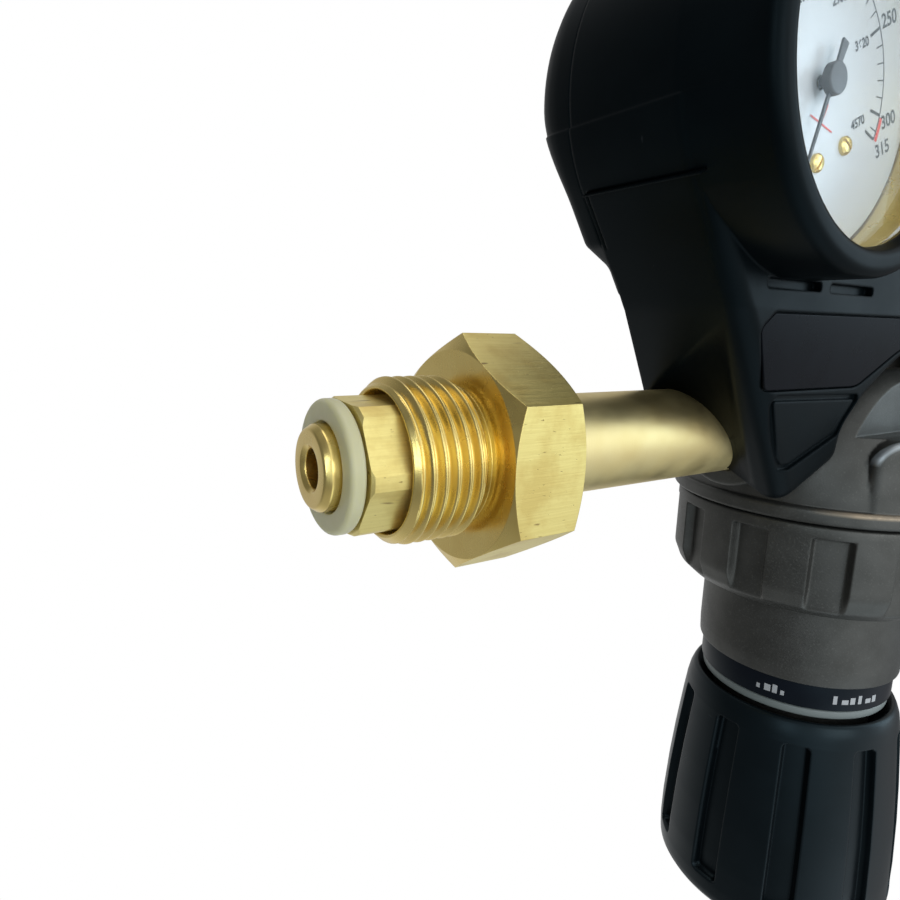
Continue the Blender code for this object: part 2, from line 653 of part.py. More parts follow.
def make_valve():
    """Seat, poppet, spring, plug and push pin on the Z axis."""
    roof = FLANGE_Z - BODY_SKIRT_DEPTH + CHAMBER_DEPTH
    seat_top = roof + 0.0021 + SEAT_HEIGHT - FIT
    chamber_top = seat_top + FIT + VALVE_CHAMBER_LENGTH
    nozzle_top = seat_top + 0.0004
    turned(
        "valve_seat",
        [(SEAT_HOLE_R, seat_top - SEAT_HEIGHT), (SEAT_R, seat_top - SEAT_HEIGHT), (SEAT_R, seat_top),
         (SEAT_HOLE_R + 0.0016, seat_top), (SEAT_HOLE_R + 0.0008, nozzle_top), (SEAT_HOLE_R, nozzle_top)],
        16, "brass",
    )
    head_top = nozzle_top + FIT + POPPET_HEAD
    stem_top = head_top + POPPET_STEM
    turned(
        "valve_poppet",
        [(0, nozzle_top + FIT), (POPPET_R - 0.0008, nozzle_top + FIT), (POPPET_R, nozzle_top + FIT + 0.0008),
         (POPPET_R, head_top), (POPPET_STEM_R, head_top), (POPPET_STEM_R, stem_top), (0, stem_top)],
        STEPS_SMALL, "steel",
    )
    plug_bottom = chamber_top + FIT
    plug_seat = FLANGE_TOP + math.sqrt(DOME_R ** 2 - DOME_TOP_R ** 2) + FIT
    guide_top = stem_top + 0.0015
    plug = turned(
        "valve_plug",
        [(POPPET_STEM_R + RUN_GAP, plug_bottom), (PLUG_R, plug_bottom), (PLUG_R, plug_seat), (PLUG_HEAD_R, plug_seat),
         (PLUG_HEAD_R, plug_seat + PLUG_HEAD - 0.0006), (PLUG_HEAD_R - 0.0006, plug_seat + PLUG_HEAD),
         (0, plug_seat + PLUG_HEAD), (0, guide_top), (POPPET_STEM_R + RUN_GAP, guide_top)],
        20, "brass",
    )
    cut(plug, extruded("plug_key", regular(6, 0.008), plug_seat + PLUG_HEAD - 0.0018, plug_seat + PLUG_HEAD + 0.001))
    coil("valve_spring", POPPET_STEM_R + 0.0017, 0.0006, 4, head_top + FIT, plug_bottom - FIT, 9, 4, "steel")
    plate_top = diaphragm_levels()["plate_top"]
    turned("push_pin", [(0, plate_top + FIT), (PIN_R, plate_top + FIT), (PIN_R, nozzle_top - FIT),
                        (0, nozzle_top - FIT)], STEPS_SMALL, "steel")


def diaphragm_levels():
    """Heights of the pieces at the diaphragm, from the clamped rim up."""
    rim_top = FLANGE_Z - BODY_SKIRT_DEPTH - FIT
    rim_low = rim_top - DIAPHRAGM_THICKNESS
    crown_low = rim_low + DIAPHRAGM_CROWN
    crown_top = rim_top + DIAPHRAGM_CROWN
    return {
        "rim_top": rim_top,
        "rim_low": rim_low,
        "crown_low": crown_low,
        "crown_top": crown_top,
        "plate_top": crown_top + FIT + PLATE_THICKNESS,
        "bonnet_top": rim_low - FIT,
    }


def make_diaphragm():
    """The rubber diaphragm between body and bonnet, with the plates that hold its middle."""
    level = diaphragm_levels()
    rise_r = PLATE_R + 0.0006
    turned(
        "diaphragm",
        [(STUD_R + FIT, level["crown_low"]), (rise_r, level["crown_low"]), (rise_r + 0.0022, level["rim_low"] + 0.001),
         (rise_r + 0.0034, level["rim_low"]), (DIAPHRAGM_R, level["rim_low"]), (DIAPHRAGM_R, level["rim_top"]),
         (rise_r + 0.003, level["rim_top"]), (rise_r + 0.0026, level["rim_top"] + 0.0008),
         (rise_r + 0.0006, level["crown_top"]), (STUD_R + FIT, level["crown_top"])],
        STEPS_MEDIUM, "rubber",
    )
    turned(
        "diaphragm_plate",
        [(STUD_R + FIT, level["crown_top"] + FIT), (PLATE_R, level["crown_top"] + FIT),
         (PLATE_R, level["plate_top"] - 0.0006), (PLATE_R - 0.0006, level["plate_top"]), (0, level["plate_top"]),
         (0, level["crown_top"] + PLATE_THICKNESS - 0.0004), (STUD_R + FIT, level["crown_top"] + PLATE_THICKNESS - 0.0004)],
        20, "brass",
    )
    spring_top = level["crown_low"] - FIT
    turned(
        "spring_plate",
        [(0, spring_top - 0.0022), (ADJUSTING_SPRING_R - ADJUSTING_WIRE_R - 0.0006, spring_top - 0.0022),
         (ADJUSTING_SPRING_R - ADJUSTING_WIRE_R - 0.0006, spring_top - 0.0012), (SPRING_PLATE_R, spring_top - 0.0012),
         (SPRING_PLATE_R, spring_top), (STUD_R, spring_top), (STUD_R, level["crown_top"] + PLATE_THICKNESS - 0.0008),
         (0, level["crown_top"] + PLATE_THICKNESS - 0.0008)],
        16, "steel",
    )


def make_ring_nut():
    """The castellated ring nut that pulls the bonnet up to the body."""
    inner = BODY_SKIRT_R + RUN_GAP
    lip_r = BONNET_R + RUN_GAP
    lip_top = RING_NUT_Z + RING_NUT_LIP
    nut = turned(
        "ring_nut",
        [(inner, RING_NUT_TOP), (RING_NUT_R, RING_NUT_TOP),
         (RING_NUT_R, RING_NUT_Z + RING_NUT_CHAMFER_HEIGHT),
         (RING_NUT_R - 0.35 * RING_NUT_CHAMFER, RING_NUT_Z + 0.4 * RING_NUT_CHAMFER_HEIGHT),
         (RING_NUT_R - RING_NUT_CHAMFER, RING_NUT_Z), (lip_r, RING_NUT_Z), (lip_r, lip_top), (inner, lip_top)],
        STEPS_LARGE, "dark_cast",
    )
    shape = bmesh.new()
    width = math.pi / RING_NUT_LUGS
    floor_r = RING_NUT_R - RING_NUT_RECESS
    for lug in range(RING_NUT_LUGS):
        start = math.radians(RING_NUT_TURN) + lug * math.tau / RING_NUT_LUGS
        ring = []
        for angle, radius in ((start, floor_r), (start + width / 2, floor_r), (start + width, floor_r),
                              (start + width, RING_NUT_R * 1.1), (start, RING_NUT_R * 1.1)):
            ring.append((radius * math.cos(angle), radius * math.sin(angle)))
        face = shape.faces.new([shape.verts.new((x, y, RING_NUT_Z - 0.001)) for x, y in ring])
        moved = [item for item in bmesh.ops.extrude_face_region(shape, geom=[face])["geom"]
                 if isinstance(item, bmesh.types.BMVert)]
        bmesh.ops.translate(shape, verts=moved, vec=(0, 0, RING_NUT_HEIGHT - RING_NUT_RIM + 0.001))
    cut(nut, object_from("ring_nut_recesses", shape, None, UPWARD))


def bonnet_levels():
    """Heights inside the bonnet, from its closed end up."""
    end = BONNET_Z - BONNET_SPIGOT
    floor = end + BONNET_END
    washer = floor + FIT
    collar = washer + THRUST_WASHER_THICKNESS + FIT
    carrier = collar + SPINDLE_COLLAR + RUN_GAP
    return {"end": end, "floor": floor, "washer": washer, "collar": collar, "carrier": carrier}


def make_bonnet():
    """The spring bonnet: flange, drum, spigot and the two keys that stop the carrier from turning."""
    level = bonnet_levels()
    top = diaphragm_levels()["bonnet_top"]
    flange_low = top - BONNET_FLANGE
    bonnet = turned(
        "bonnet",
        [(PLATE_R + 0.002, top), (BONNET_FLANGE_R, top), (BONNET_FLANGE_R, flange_low), (BONNET_R, flange_low),
         (BONNET_R, BONNET_Z + 0.0022), (BONNET_R - 0.0003, BONNET_Z + 0.001), (BONNET_R - 0.0011, BONNET_Z),
         (BONNET_SPIGOT_R, BONNET_Z), (BONNET_SPIGOT_R, level["end"]), (SPINDLE_R + RUN_GAP, level["end"]),
         (SPINDLE_R + RUN_GAP, level["floor"]), (BONNET_CAVITY_R, level["floor"]), (BONNET_CAVITY_R, top - 0.003)],
        30, "dark_cast",
    )
    key_top = level["carrier"] + CARRIER_TRAVEL + CARRIER_THICKNESS
    for side in (-1, 1):
        inner = side * (BONNET_CAVITY_R - KEY_HEIGHT)
        outer = side * (BONNET_CAVITY_R + 0.0008)
        key = [(inner, -KEY_WIDTH / 2), (outer, -KEY_WIDTH / 2), (outer, KEY_WIDTH / 2), (inner, KEY_WIDTH / 2)]
        join(bonnet, extruded(f"bonnet_key_{side}", key, level["floor"] + 0.0035, key_top))


def make_adjusting_gear():
    """Spindle, thrust washer, spring carrier and adjusting spring."""
    level = bonnet_levels()
    drive_end = KNOB_FLOOR + 0.0045
    drive_top = level["end"] - 0.001
    spindle_top = level["carrier"] + CARRIER_THICKNESS + CARRIER_TRAVEL + 0.001
    spindle = turned(
        "spindle",
        [(0, level["end"] - 0.003), (SPINDLE_R, level["end"] - 0.003), (SPINDLE_R, level["collar"]),
         (SPINDLE_COLLAR_R, level["collar"]), (SPINDLE_COLLAR_R, level["collar"] + SPINDLE_COLLAR),
         (SPINDLE_R, level["collar"] + SPINDLE_COLLAR), (SPINDLE_R, spindle_top - 0.0008),
         (SPINDLE_R - 0.0008, spindle_top), (0, spindle_top)],
        16, "steel",
    )
    join(spindle, extruded("spindle_drive", regular(6, KNOB_DRIVE_FLATS), drive_end, drive_top))
    cut(spindle, turned("spindle_hole", [(0, drive_end - 0.001), (KNOB_SCREW_R + FIT, drive_end - 0.001),
                                         (KNOB_SCREW_R + FIT, drive_end + 0.011), (0, drive_end + 0.011)], 12))
    turned("thrust_washer", [(SPINDLE_R + FIT, level["washer"]), (THRUST_WASHER_R, level["washer"]),
                             (THRUST_WASHER_R, level["washer"] + THRUST_WASHER_THICKNESS),
                             (SPINDLE_R + FIT, level["washer"] + THRUST_WASHER_THICKNESS)], 16, "steel")
    carrier_top = level["carrier"] + CARRIER_THICKNESS
    guide_r = ADJUSTING_SPRING_R - ADJUSTING_WIRE_R - 0.0006
    carrier = turned(
        "spring_carrier",
        [(SPINDLE_R + FIT, level["carrier"]), (CARRIER_R, level["carrier"]), (CARRIER_R, carrier_top - 0.002),
         (guide_r, carrier_top - 0.002), (guide_r, carrier_top), (SPINDLE_R + FIT, carrier_top)],
        20, "brass",
    )
    for side in (-1, 1):
        inner = side * (BONNET_CAVITY_R - KEY_HEIGHT - RUN_GAP)
        outer = side * (CARRIER_R + 0.002)
        half = KEY_WIDTH / 2 + RUN_GAP
        slot = [(inner, -half), (outer, -half), (outer, half), (inner, half)]
        cut(carrier, extruded(f"carrier_slot_{side}", slot, level["carrier"] - 0.001, carrier_top + 0.001))
    spring_top = diaphragm_levels()["crown_low"] - FIT - 0.0012 - FIT
    coil("adjusting_spring", ADJUSTING_SPRING_R, ADJUSTING_WIRE_R, ADJUSTING_TURNS, carrier_top - 0.002 + FIT,
         spring_top, 12, 5, "steel")


def knob_radius(height):
    """Radius of the knob's outside at a height above its end: a curve that widens downwards."""
    share = min(max(height / KNOB_LENGTH, 0), 1)
    return KNOB_END_R - (KNOB_END_R - KNOB_TOP_R) * share ** 2.6


def make_knob():
    """The hollow knob with its grips, its screw and its end cap."""
    level = bonnet_levels()
    hub_top = level["end"] - 0.0035
    outside = [(knob_radius(KNOB_LENGTH * share), KNOB_LENGTH * share) for share in (0.07, 0.4, 0.65, 0.85)]
    screw_seat = KNOB_CAP_THICKNESS + FIT + KNOB_SCREW_HEAD + FIT
    knob = turned(
        "knob",
        [(KNOB_CAP_R + FIT, 0), (KNOB_END_R - 0.0022, 0), (KNOB_END_R - 0.0007, 0.0009)] + outside
        + [(KNOB_TOP_R, KNOB_LENGTH - 0.0022), (KNOB_TOP_R - 0.0004, KNOB_LENGTH - 0.0006),
           (KNOB_TOP_R - 0.0011, KNOB_LENGTH), (KNOB_MOUTH_R, KNOB_LENGTH - 0.0003),
           (KNOB_INSIDE_R, KNOB_LENGTH - 0.003), (KNOB_INSIDE_R, hub_top), (KNOB_INSIDE_R + 0.003, KNOB_FLOOR),
           (KNOB_HUB_R, KNOB_FLOOR), (KNOB_HUB_R, hub_top), (KNOB_SCREW_R + FIT, hub_top),
           (KNOB_SCREW_R + FIT, screw_seat), (KNOB_SCREW_HEAD_R + FIT, screw_seat),
           (KNOB_SCREW_HEAD_R + FIT, KNOB_CAP_THICKNESS + FIT), (KNOB_CAP_R + FIT, KNOB_CAP_THICKNESS + FIT)],
        STEPS_LARGE, "black_plastic",
    )
    cut(knob, extruded("knob_socket", regular(6, KNOB_DRIVE_FLATS + 2 * FIT), KNOB_FLOOR + 0.0045 - FIT, hub_top + 0.002))
    shape = bmesh.new()
    low, high = KNOB_GRIP_END, KNOB_LENGTH - KNOB_GRIP_TOP
    half = math.radians(KNOB_GRIP_WIDTH) / 2
    for grip in range(KNOB_GRIPS):
        middle = math.radians(KNOB_GRIP_TURN) + grip * math.tau / KNOB_GRIPS
        rings = []
        for height in (low, (low + high) / 2, high):
            floor_r = knob_radius(height) - KNOB_GRIP_DEPTH
            ring = []
            for angle, radius in ((middle - half, floor_r - 0.0004), (middle + half, floor_r + 0.0004),
                                  (middle + half, KNOB_END_R * 1.2), (middle - half, KNOB_END_R * 1.2)):
                ring.append(shape.verts.new((radius * math.cos(angle), radius * math.sin(angle), height)))
            rings.append(ring)
        shape.faces.new(rings[0])
        shape.faces.new(rings[-1])
        for lower, upper in zip(rings, rings[1:]):
            for side in range(4):
                other = (side + 1) % 4
                shape.faces.new((lower[side], lower[other], upper[other], upper[side]))
    cut(knob, object_from("knob_grip_cutter", shape, None, UPWARD))
    turned("knob_cap", [(0, 0), (KNOB_CAP_R, 0), (KNOB_CAP_R, KNOB_CAP_THICKNESS), (0, KNOB_CAP_THICKNESS)],
           STEPS_LARGE, "black_plastic")
    head_low = KNOB_CAP_THICKNESS + FIT
    screw = turned("knob_screw", [(0, head_low), (KNOB_SCREW_HEAD_R, head_low), (KNOB_SCREW_HEAD_R, screw_seat - FIT),
                                  (KNOB_SCREW_R, screw_seat - FIT), (KNOB_SCREW_R, screw_seat + 0.014),
                                  (0, screw_seat + 0.014)], STEPS_SMALL, "steel")
    cut(screw, extruded("knob_screw_key", regular(6, 0.004), head_low - 0.001, head_low + 0.002))


def make_rings():
    """The black marking band and the pale ring under it, both pushed on the bonnet's spigot."""
    inner = BONNET_SPIGOT_R + FIT
    turned("marking_band", [(inner, BAND_Z), (BAND_R, BAND_Z), (BAND_R, BAND_Z + BAND_HEIGHT),
                            (inner, BAND_Z + BAND_HEIGHT)], 36, "black_plastic")
    turned("light_ring", [(inner, LIGHT_RING_Z), (LIGHT_RING_R, LIGHT_RING_Z),
                          (LIGHT_RING_R, LIGHT_RING_Z + LIGHT_RING_HEIGHT),
                          (inner, LIGHT_RING_Z + LIGHT_RING_HEIGHT)], 36, "pale_plastic")


def make_gauge(name, side):
    """One 50 mm gauge: case, socket, bourdon tube, movement, dial, pointer and crystal."""
    place = gauge_place(side)
    inner_r = GAUGE_CASE_R - GAUGE_CASE_WALL
    floor = GAUGE_BACK + GAUGE_CASE_WALL
    case = turned(
        f"{name}_case",
        [(0, GAUGE_BACK), (GAUGE_CASE_R, GAUGE_BACK), (GAUGE_CASE_R, GAUGE_FRONT), (inner_r, GAUGE_FRONT),
         (inner_r, floor), (0, floor)],
        32, "brass", place,
    )
    socket_low = SOCKET_PLANE - SOCKET_DEPTH / 2
    socket_high = SOCKET_PLANE + SOCKET_DEPTH / 2
    half = SOCKET_WIDTH / 2
    slot = [(-half - FIT, -GAUGE_CASE_R - 0.004), (half + FIT, -GAUGE_CASE_R - 0.004),
            (half + FIT, -GAUGE_CASE_R + 0.004), (-half - FIT, -GAUGE_CASE_R + 0.004)]
    cut(case, extruded(f"{name}_case_slot", slot, socket_low - FIT, socket_high + FIT, None, place))
    socket_top = -0.014
    block = [(-half, -SOCKET_REACH), (half, -SOCKET_REACH), (half, socket_top), (-half, socket_top)]
    socket = extruded(f"{name}_socket", block, socket_low, socket_high, "brass", place)
    thread_end = SOCKET_REACH + SOCKET_THREAD
    join(socket, turned(f"{name}_socket_thread", [(0, SOCKET_REACH - 0.001), (SOCKET_THREAD_R - 0.0008, SOCKET_REACH - 0.001),
                                                  (SOCKET_THREAD_R, SOCKET_REACH + 0.001), (SOCKET_THREAD_R, thread_end - 0.0008),
                                                  (SOCKET_THREAD_R - 0.0008, thread_end), (0, thread_end)],
                        14, None, down_stem(side)))
    cut(socket, turned(f"{name}_socket_bore", [(0, -socket_top + 0.003), (0.0012, -socket_top + 0.003),
                                               (0.0012, thread_end + 0.001), (0, thread_end + 0.001)],
                       8, None, down_stem(side)))
    tube_r, tube_wall = 0.0180, 0.0026
    start = -math.degrees(math.acos((half + FIT) / (tube_r - tube_wall)))
    outer = arc((0, 0), tube_r, start, 190, 12)
    inside = arc((0, 0), tube_r - tube_wall, 190, start, 12)
    extruded(f"{name}_bourdon_tube", outer + inside, socket_low + 0.002, socket_high - 0.002, "bronze", place)
    movement = [(-0.006, socket_top + FIT), (0.006, socket_top + FIT), (0.006, -0.006), (0.0045, 0.0065),
                (-0.0045, 0.0065), (-0.006, -0.006)]
    arbor_r = 0.0007
    frame = extruded(f"{name}_movement", movement, socket_low + 0.002, DIAL_FRONT - DIAL_THICKNESS - FIT, "brass", place)
    cut(frame, turned(f"{name}_arbor_hole", [(0, socket_low + 0.004), (arbor_r + FIT, socket_low + 0.004),
                                             (arbor_r + FIT, DIAL_FRONT), (0, DIAL_FRONT)], 8, None, place))
    turned(f"{name}_dial", [(arbor_r + FIT, DIAL_FRONT - DIAL_THICKNESS), (inner_r - FIT, DIAL_FRONT - DIAL_THICKNESS),
                            (inner_r - FIT, DIAL_FRONT), (arbor_r + FIT, DIAL_FRONT)], 28, "dial_white", place)
    hub = DIAL_FRONT + 0.0012
    pointer = turned(f"{name}_pointer", [(0, socket_low + 0.0045), (arbor_r, socket_low + 0.0045), (arbor_r, hub),
                                         (0.0022, hub), (0.0022, hub + 0.0012), (0, hub + 0.0012)], 10, "black_plastic", place)
    aim = math.radians(POINTER_ZERO)
    along = Vector((math.cos(aim), math.sin(aim)))
    across = Vector((-along.y, along.x))
    blade = [along * -0.005 - across * 0.0011, along * 0.009 - across * 0.0008, along * POINTER_LENGTH,
             along * 0.009 + across * 0.0008, along * -0.005 + across * 0.0011]
    join(pointer, extruded(f"{name}_pointer_blade", [tuple(point) for point in blade], hub + 0.0003, hub + 0.0008, None, place))
    crystal_top = GAUGE_FRONT - 0.0004
    turned(f"{name}_crystal", [(0, crystal_top - CRYSTAL_THICKNESS), (inner_r - FIT, crystal_top - CRYSTAL_THICKNESS),
                               (inner_r - FIT, crystal_top), (0, crystal_top)], 28, "clear_plastic", place)


def front_outline():
    """Outline of the cover from the front, heights measured from the inlet axis."""
    middle = (-GAUGE_SPREAD, GAUGE_RISE)
    top = [(0, 0.0655), (-0.012, 0.0665), (-0.024, 0.0705)]
    barrel = arc(middle, BARREL_R, 60, 212, 15)
    leg = [(-0.065, COVER_BEND), (-0.0385, -0.0087), (-0.0371, -0.0113), (-0.0345, -0.0112)]
    arch = [(-0.022, -0.0046), (-0.0230, 0.0012), (-0.0212, 0.0052), (-0.0163, 0.0100), (-0.0110, 0.0136),
            (-0.0055, 0.0160), (0, 0.0168)]
    return mirrored(top + barrel + leg + arch)


def side_outline(inset):
    """Outline of the front cover from the side, as (distance forward, height). Inset makes its inside."""
    low = -0.0125
    front_low = COVER_FRONT - (COVER_BEND - low) * math.tan(math.radians(COVER_LEAN))
    top = GAUGE_RISE + BARREL_R + 0.004
    if inset:
        back = -0.02
        return [(COVER_FRONT - inset, top), (COVER_FRONT - inset, COVER_BEND), (front_low - inset - 0.001, low - 0.006),
                (back, low - 0.006), (back, top)]
    return [(COVER_FRONT + FIT, top), (COVER_FRONT + FIT, low), (front_low - 0.0004, low), (-0.008, 0.0095),
            (COVER_BACK - 0.0011, 0.0288), (COVER_BACK, 0.0290), (COVER_BACK, top)]


def along_x(outline, name):
    """A side outline extruded right across the cover."""
    place = Matrix.Translation((0, 0, INLET_Z)) @ Matrix.Rotation(math.radians(-90), 4, "Y") @ Matrix.Rotation(
        math.radians(180), 4, "Z"
    )
    # Local Z runs along X, local X is up or down and local Y is front or back, so the pairs are turned to match.
    turned_pairs = [(-height, forward) for forward, height in outline]
    return extruded(name, turned_pairs, -0.1, 0.1, None, place)


def leaning():
    """The frame of the legs' front face: X across, Y up the face from its bend, Z out of it."""
    return (
        FACING @ Matrix.Translation((0, COVER_BEND, COVER_FRONT)) @ Matrix.Rotation(math.radians(COVER_LEAN), 4, "X")
    )


def on_face(points):
    """Heights above the inlet axis turned into distances down the leaning face."""
    slope = math.cos(math.radians(COVER_LEAN))
    return [(x, (height - COVER_BEND) / slope) for x, height in points]


def label_outline():
    half = [(0, 0.0218), (-0.0560, 0.0214), (-0.0585, 0.0190), (-0.0530, 0.0095), (-0.0250, 0.0095), (-0.0150, 0.0152),
            (-0.0070, 0.0188), (0, 0.0200)]
    return mirrored(half)


def rounded_front(outline):
    """The cover's outside with its front edge rounded, and its front leaning back below the bend."""
    layers = [(outline, -0.012)]
    for step in range(ROUNDING_STEPS + 1):
        angle = math.pi / 2 * step / ROUNDING_STEPS
        inset = COVER_ROUNDING * (1 - math.cos(angle))
        layers.append((grown(outline, -inset), COVER_FRONT - COVER_ROUNDING * (1 - math.sin(angle))))
    cover = layered("front_cover", layers, "black_plastic", FACING)
    shape = bmesh.new()
    shape.from_mesh(cover.data)
    bmesh.ops.bisect_plane(shape, geom=shape.verts[:] + shape.edges[:] + shape.faces[:],
                           plane_co=(0, COVER_BEND, 0), plane_no=(0, 1, 0))
    for vertex in shape.verts:
        if vertex.co.z > 0 and vertex.co.y < COVER_BEND:
            vertex.co.z -= (COVER_BEND - vertex.co.y) * math.tan(math.radians(COVER_LEAN))
    shape.to_mesh(cover.data)
    shape.free()
    return cover


def make_front_cover():
    """The front shell: two barrels with rims, the front plate, two legs and the side walls."""
    outline = front_outline()
    cover = rounded_front(outline)
    keep(cover, along_x(side_outline(0), "cover_side"))
    cavity = extruded("cover_cavity", grown(outline, -COVER_WALL), -0.030, COVER_FRONT, None, FACING)
    keep(cavity, along_x(side_outline(COVER_WALL), "cavity_side"))
    lip = RIM_FRONT - COVER_FRONT
    for side in (-1, 1):
        place = gauge_place(side)
        join(cover, turned(
            f"rim_{side}",
            [(0, COVER_FRONT - 0.004), (RIM_R, COVER_FRONT - 0.004), (RIM_R, COVER_FRONT + 0.85 * lip),
             (RIM_R - 0.0017, RIM_FRONT), (0, RIM_FRONT)],
            STEPS_LARGE, None, place,
        ))
    cut(cover, cavity)
    for side in (-1, 1):
        bore_front = GAUGE_FRONT + FIT
        cut(cover, turned(
            f"gauge_bore_{side}",
            [(0, COVER_FRONT - COVER_WALL - 0.001), (GAUGE_CASE_R + FIT, COVER_FRONT - COVER_WALL - 0.001),
             (GAUGE_CASE_R + FIT, bore_front), (WINDOW_R, bore_front + 0.0004),
             (WINDOW_R, RIM_FRONT - 0.001), (WINDOW_R + 0.0014, RIM_FRONT + 0.0004), (0, RIM_FRONT + 0.0004)],
            STEPS_LARGE, None, gauge_place(side),
        ))
    arch_room = mirrored([(0, 0.024), (-0.008, 0.023), (-0.018, 0.0175), (-0.0275, 0.0085), (-0.0335, -0.002),
                          (-0.0335, -0.03), (0, -0.03)])
    cut(cover, extruded("arch_room", arch_room, -0.03, COVER_FRONT - 0.0086, None, FACING))
    add_cover_posts(cover)
    cut_tube_slots(cover)
    cut(cover, extruded("label_recess", grown(on_face(label_outline()), FIT), -LABEL_RECESS, 0.01, None, leaning()))
    for side in (-1, 1):
        panel = [(-0.0505, 0.0082), (-0.0436, -0.0030), (-0.0415, -0.0048), (-0.0390, -0.0048), (-0.0262, 0.0006),
                 (-0.0252, 0.0030), (-0.0225, 0.0076)]
        panel = [(-side * x, height) for x, height in panel]
        cut(cover, extruded(f"foot_panel_{side}", on_face(panel), -PANEL_RECESS, 0.01, None, leaning()))
    extruded("label_plate", on_face(label_outline()), FIT - LABEL_RECESS, FIT - LABEL_RECESS + LABEL_THICKNESS,
             "black_plastic", leaning())


def screw_spots():
    return [(side * x, height) for side in (-1, 1) for x, height in ((0.014, 0.058), (0.019, 0.030))]


def add_cover_posts(cover):
    """Posts behind the front plate that the cover screws turn into."""
    for number, (x, height) in enumerate(screw_spots()):
        place = FACING @ Matrix.Translation((x, height, 0))
        join(cover, turned(f"post_{number}", [(0, COVER_BACK + FIT), (COVER_POST_R, COVER_BACK + FIT),
                                              (COVER_POST_R, COVER_FRONT - 0.001), (0, COVER_FRONT - 0.001)], 8, None, place))
        cut(cover, turned(f"post_hole_{number}", [(0, COVER_BACK - 0.002), (COVER_SCREW_R + FIT, COVER_BACK - 0.002),
                                                  (COVER_SCREW_R + FIT, 0.011), (0, 0.011)], 6, None, place))


def cut_tube_slots(cover):
    """Slots in both side walls, open at the back, that fit round the inlet and outlet stems."""
    radius = STEM_R + FIT
    slot = arc((0, 0), radius, -90, 90, 12) + [(-0.03, radius), (-0.03, -radius)]
    cut(cover, along_x([(forward, height) for forward, height in slot], "tube_slot"))


def make_rear_cover():
    """The shallow rear shell behind the gauges."""
    front = COVER_BACK - FIT
    back = REAR_BACK
    middle = (-GAUGE_SPREAD, GAUGE_RISE)
    half = (
        [(0, 0.0655), (-0.012, 0.0665), (-0.024, 0.0705)] + arc(middle, BARREL_R, 60, 212, 12)
        + [(-0.0723, 0.0332), (-0.0706, 0.0312), (-0.0660, 0.0293), (-0.0622, 0.0232), (0, 0.0232)]
    )
    outline = mirrored(half)
    shell = layered("rear_cover", [(grown(outline, -REAR_CHAMFER), back), (outline, back + REAR_CHAMFER), (outline, front)],
                    "black_plastic", FACING)
    cut(shell, extruded("rear_cavity", grown(outline, -COVER_WALL), back + REAR_WALL, front + 0.001, None, FACING))
    for number, (x, height) in enumerate(screw_spots()):
        place = FACING @ Matrix.Translation((x, height, 0))
        join(shell, turned(f"rear_post_{number}", [(0, back + 0.001), (COVER_POST_R + 0.001, back + 0.001),
                                                   (COVER_POST_R + 0.001, front), (0, front)], 8, None, place))
        head_low = back + COVER_SCREW_SUNK
        seat = head_low + COVER_SCREW_HEAD + FIT
        cut(shell, turned(f"rear_hole_{number}", [(0, back - 0.001), (COVER_SCREW_HEAD_R + FIT, back - 0.001),
                                                  (COVER_SCREW_HEAD_R + FIT, seat), (COVER_SCREW_R + FIT, seat),
                                                  (COVER_SCREW_R + FIT, front + 0.001), (0, front + 0.001)], 8, None, place))
        screw = turned(f"cover_screw_{number + 1}",
                       [(0, head_low), (COVER_SCREW_HEAD_R, head_low), (COVER_SCREW_HEAD_R, seat - FIT),
                        (COVER_SCREW_R, seat - FIT), (COVER_SCREW_R, back + COVER_SCREW_LENGTH),
                        (0, back + COVER_SCREW_LENGTH)], 8, "steel", place)
        cut(screw, extruded(f"screw_key_{number}", regular(6, 0.0025), back - 0.001, head_low + 0.0008, None, place))


def make_outlet():
    """Outlet stem, nut and hose tail, on the outlet axis."""
    turned(
        "outlet_stem",
        [(STEM_R, STEM_SEAT + 2 * FIT), (STEM_R, OUTLET_THREAD_REACH - 0.0004), (OUTLET_THREAD_R, OUTLET_THREAD_REACH),
         (OUTLET_THREAD_R, OUTLET_REACH - 0.0008), (OUTLET_THREAD_R - 0.0008, OUTLET_REACH), (0.005, OUTLET_REACH),
         (0.004, OUTLET_REACH - 0.002), (0.004, STEM_SEAT + 2 * FIT)],
        STEPS_MEDIUM, "brass", TO_OUTLET,
    )
    flange_low = OUTLET_REACH + FIT
    flange_high = flange_low + TAIL_FLANGE
    nut_end = flange_high + FIT + 0.002
    nut = chamfered_hex("outlet_nut", OUTLET_NUT_FLATS, OUTLET_NUT_FLATS / 2 - 0.0001, nut_end - OUTLET_NUT_LENGTH,
                        nut_end, "brass", TO_OUTLET)
    cut(nut, turned(
        "outlet_nut_bore",
        [(0, nut_end - OUTLET_NUT_LENGTH - 0.001), (OUTLET_THREAD_R + FIT, nut_end - OUTLET_NUT_LENGTH - 0.001),
         (OUTLET_THREAD_R + FIT, flange_high + FIT), (TAIL_BARB_R + RUN_GAP, flange_high + FIT),
         (TAIL_BARB_R + RUN_GAP, nut_end + 0.001), (0, nut_end + 0.001)],
        STEPS_MEDIUM, None, TO_OUTLET,
    ))
    tail = [(TAIL_BORE_R, flange_low), (TAIL_FLANGE_R, flange_low), (TAIL_FLANGE_R, flange_high), (TAIL_R, flange_high)]
    barbs_start = nut_end + 0.004
    pitch = (TAIL_REACH - barbs_start) / TAIL_BARBS
    for barb in range(TAIL_BARBS):
        here = barbs_start + barb * pitch
        tail += [(TAIL_R, here), (TAIL_BARB_R, here + 0.0003), (TAIL_BARB_R, here + 0.0009)]
    tail += [(TAIL_R, TAIL_REACH), (TAIL_BORE_R, TAIL_REACH)]
    turned("hose_tail", tail, 14, "brass", TO_OUTLET)


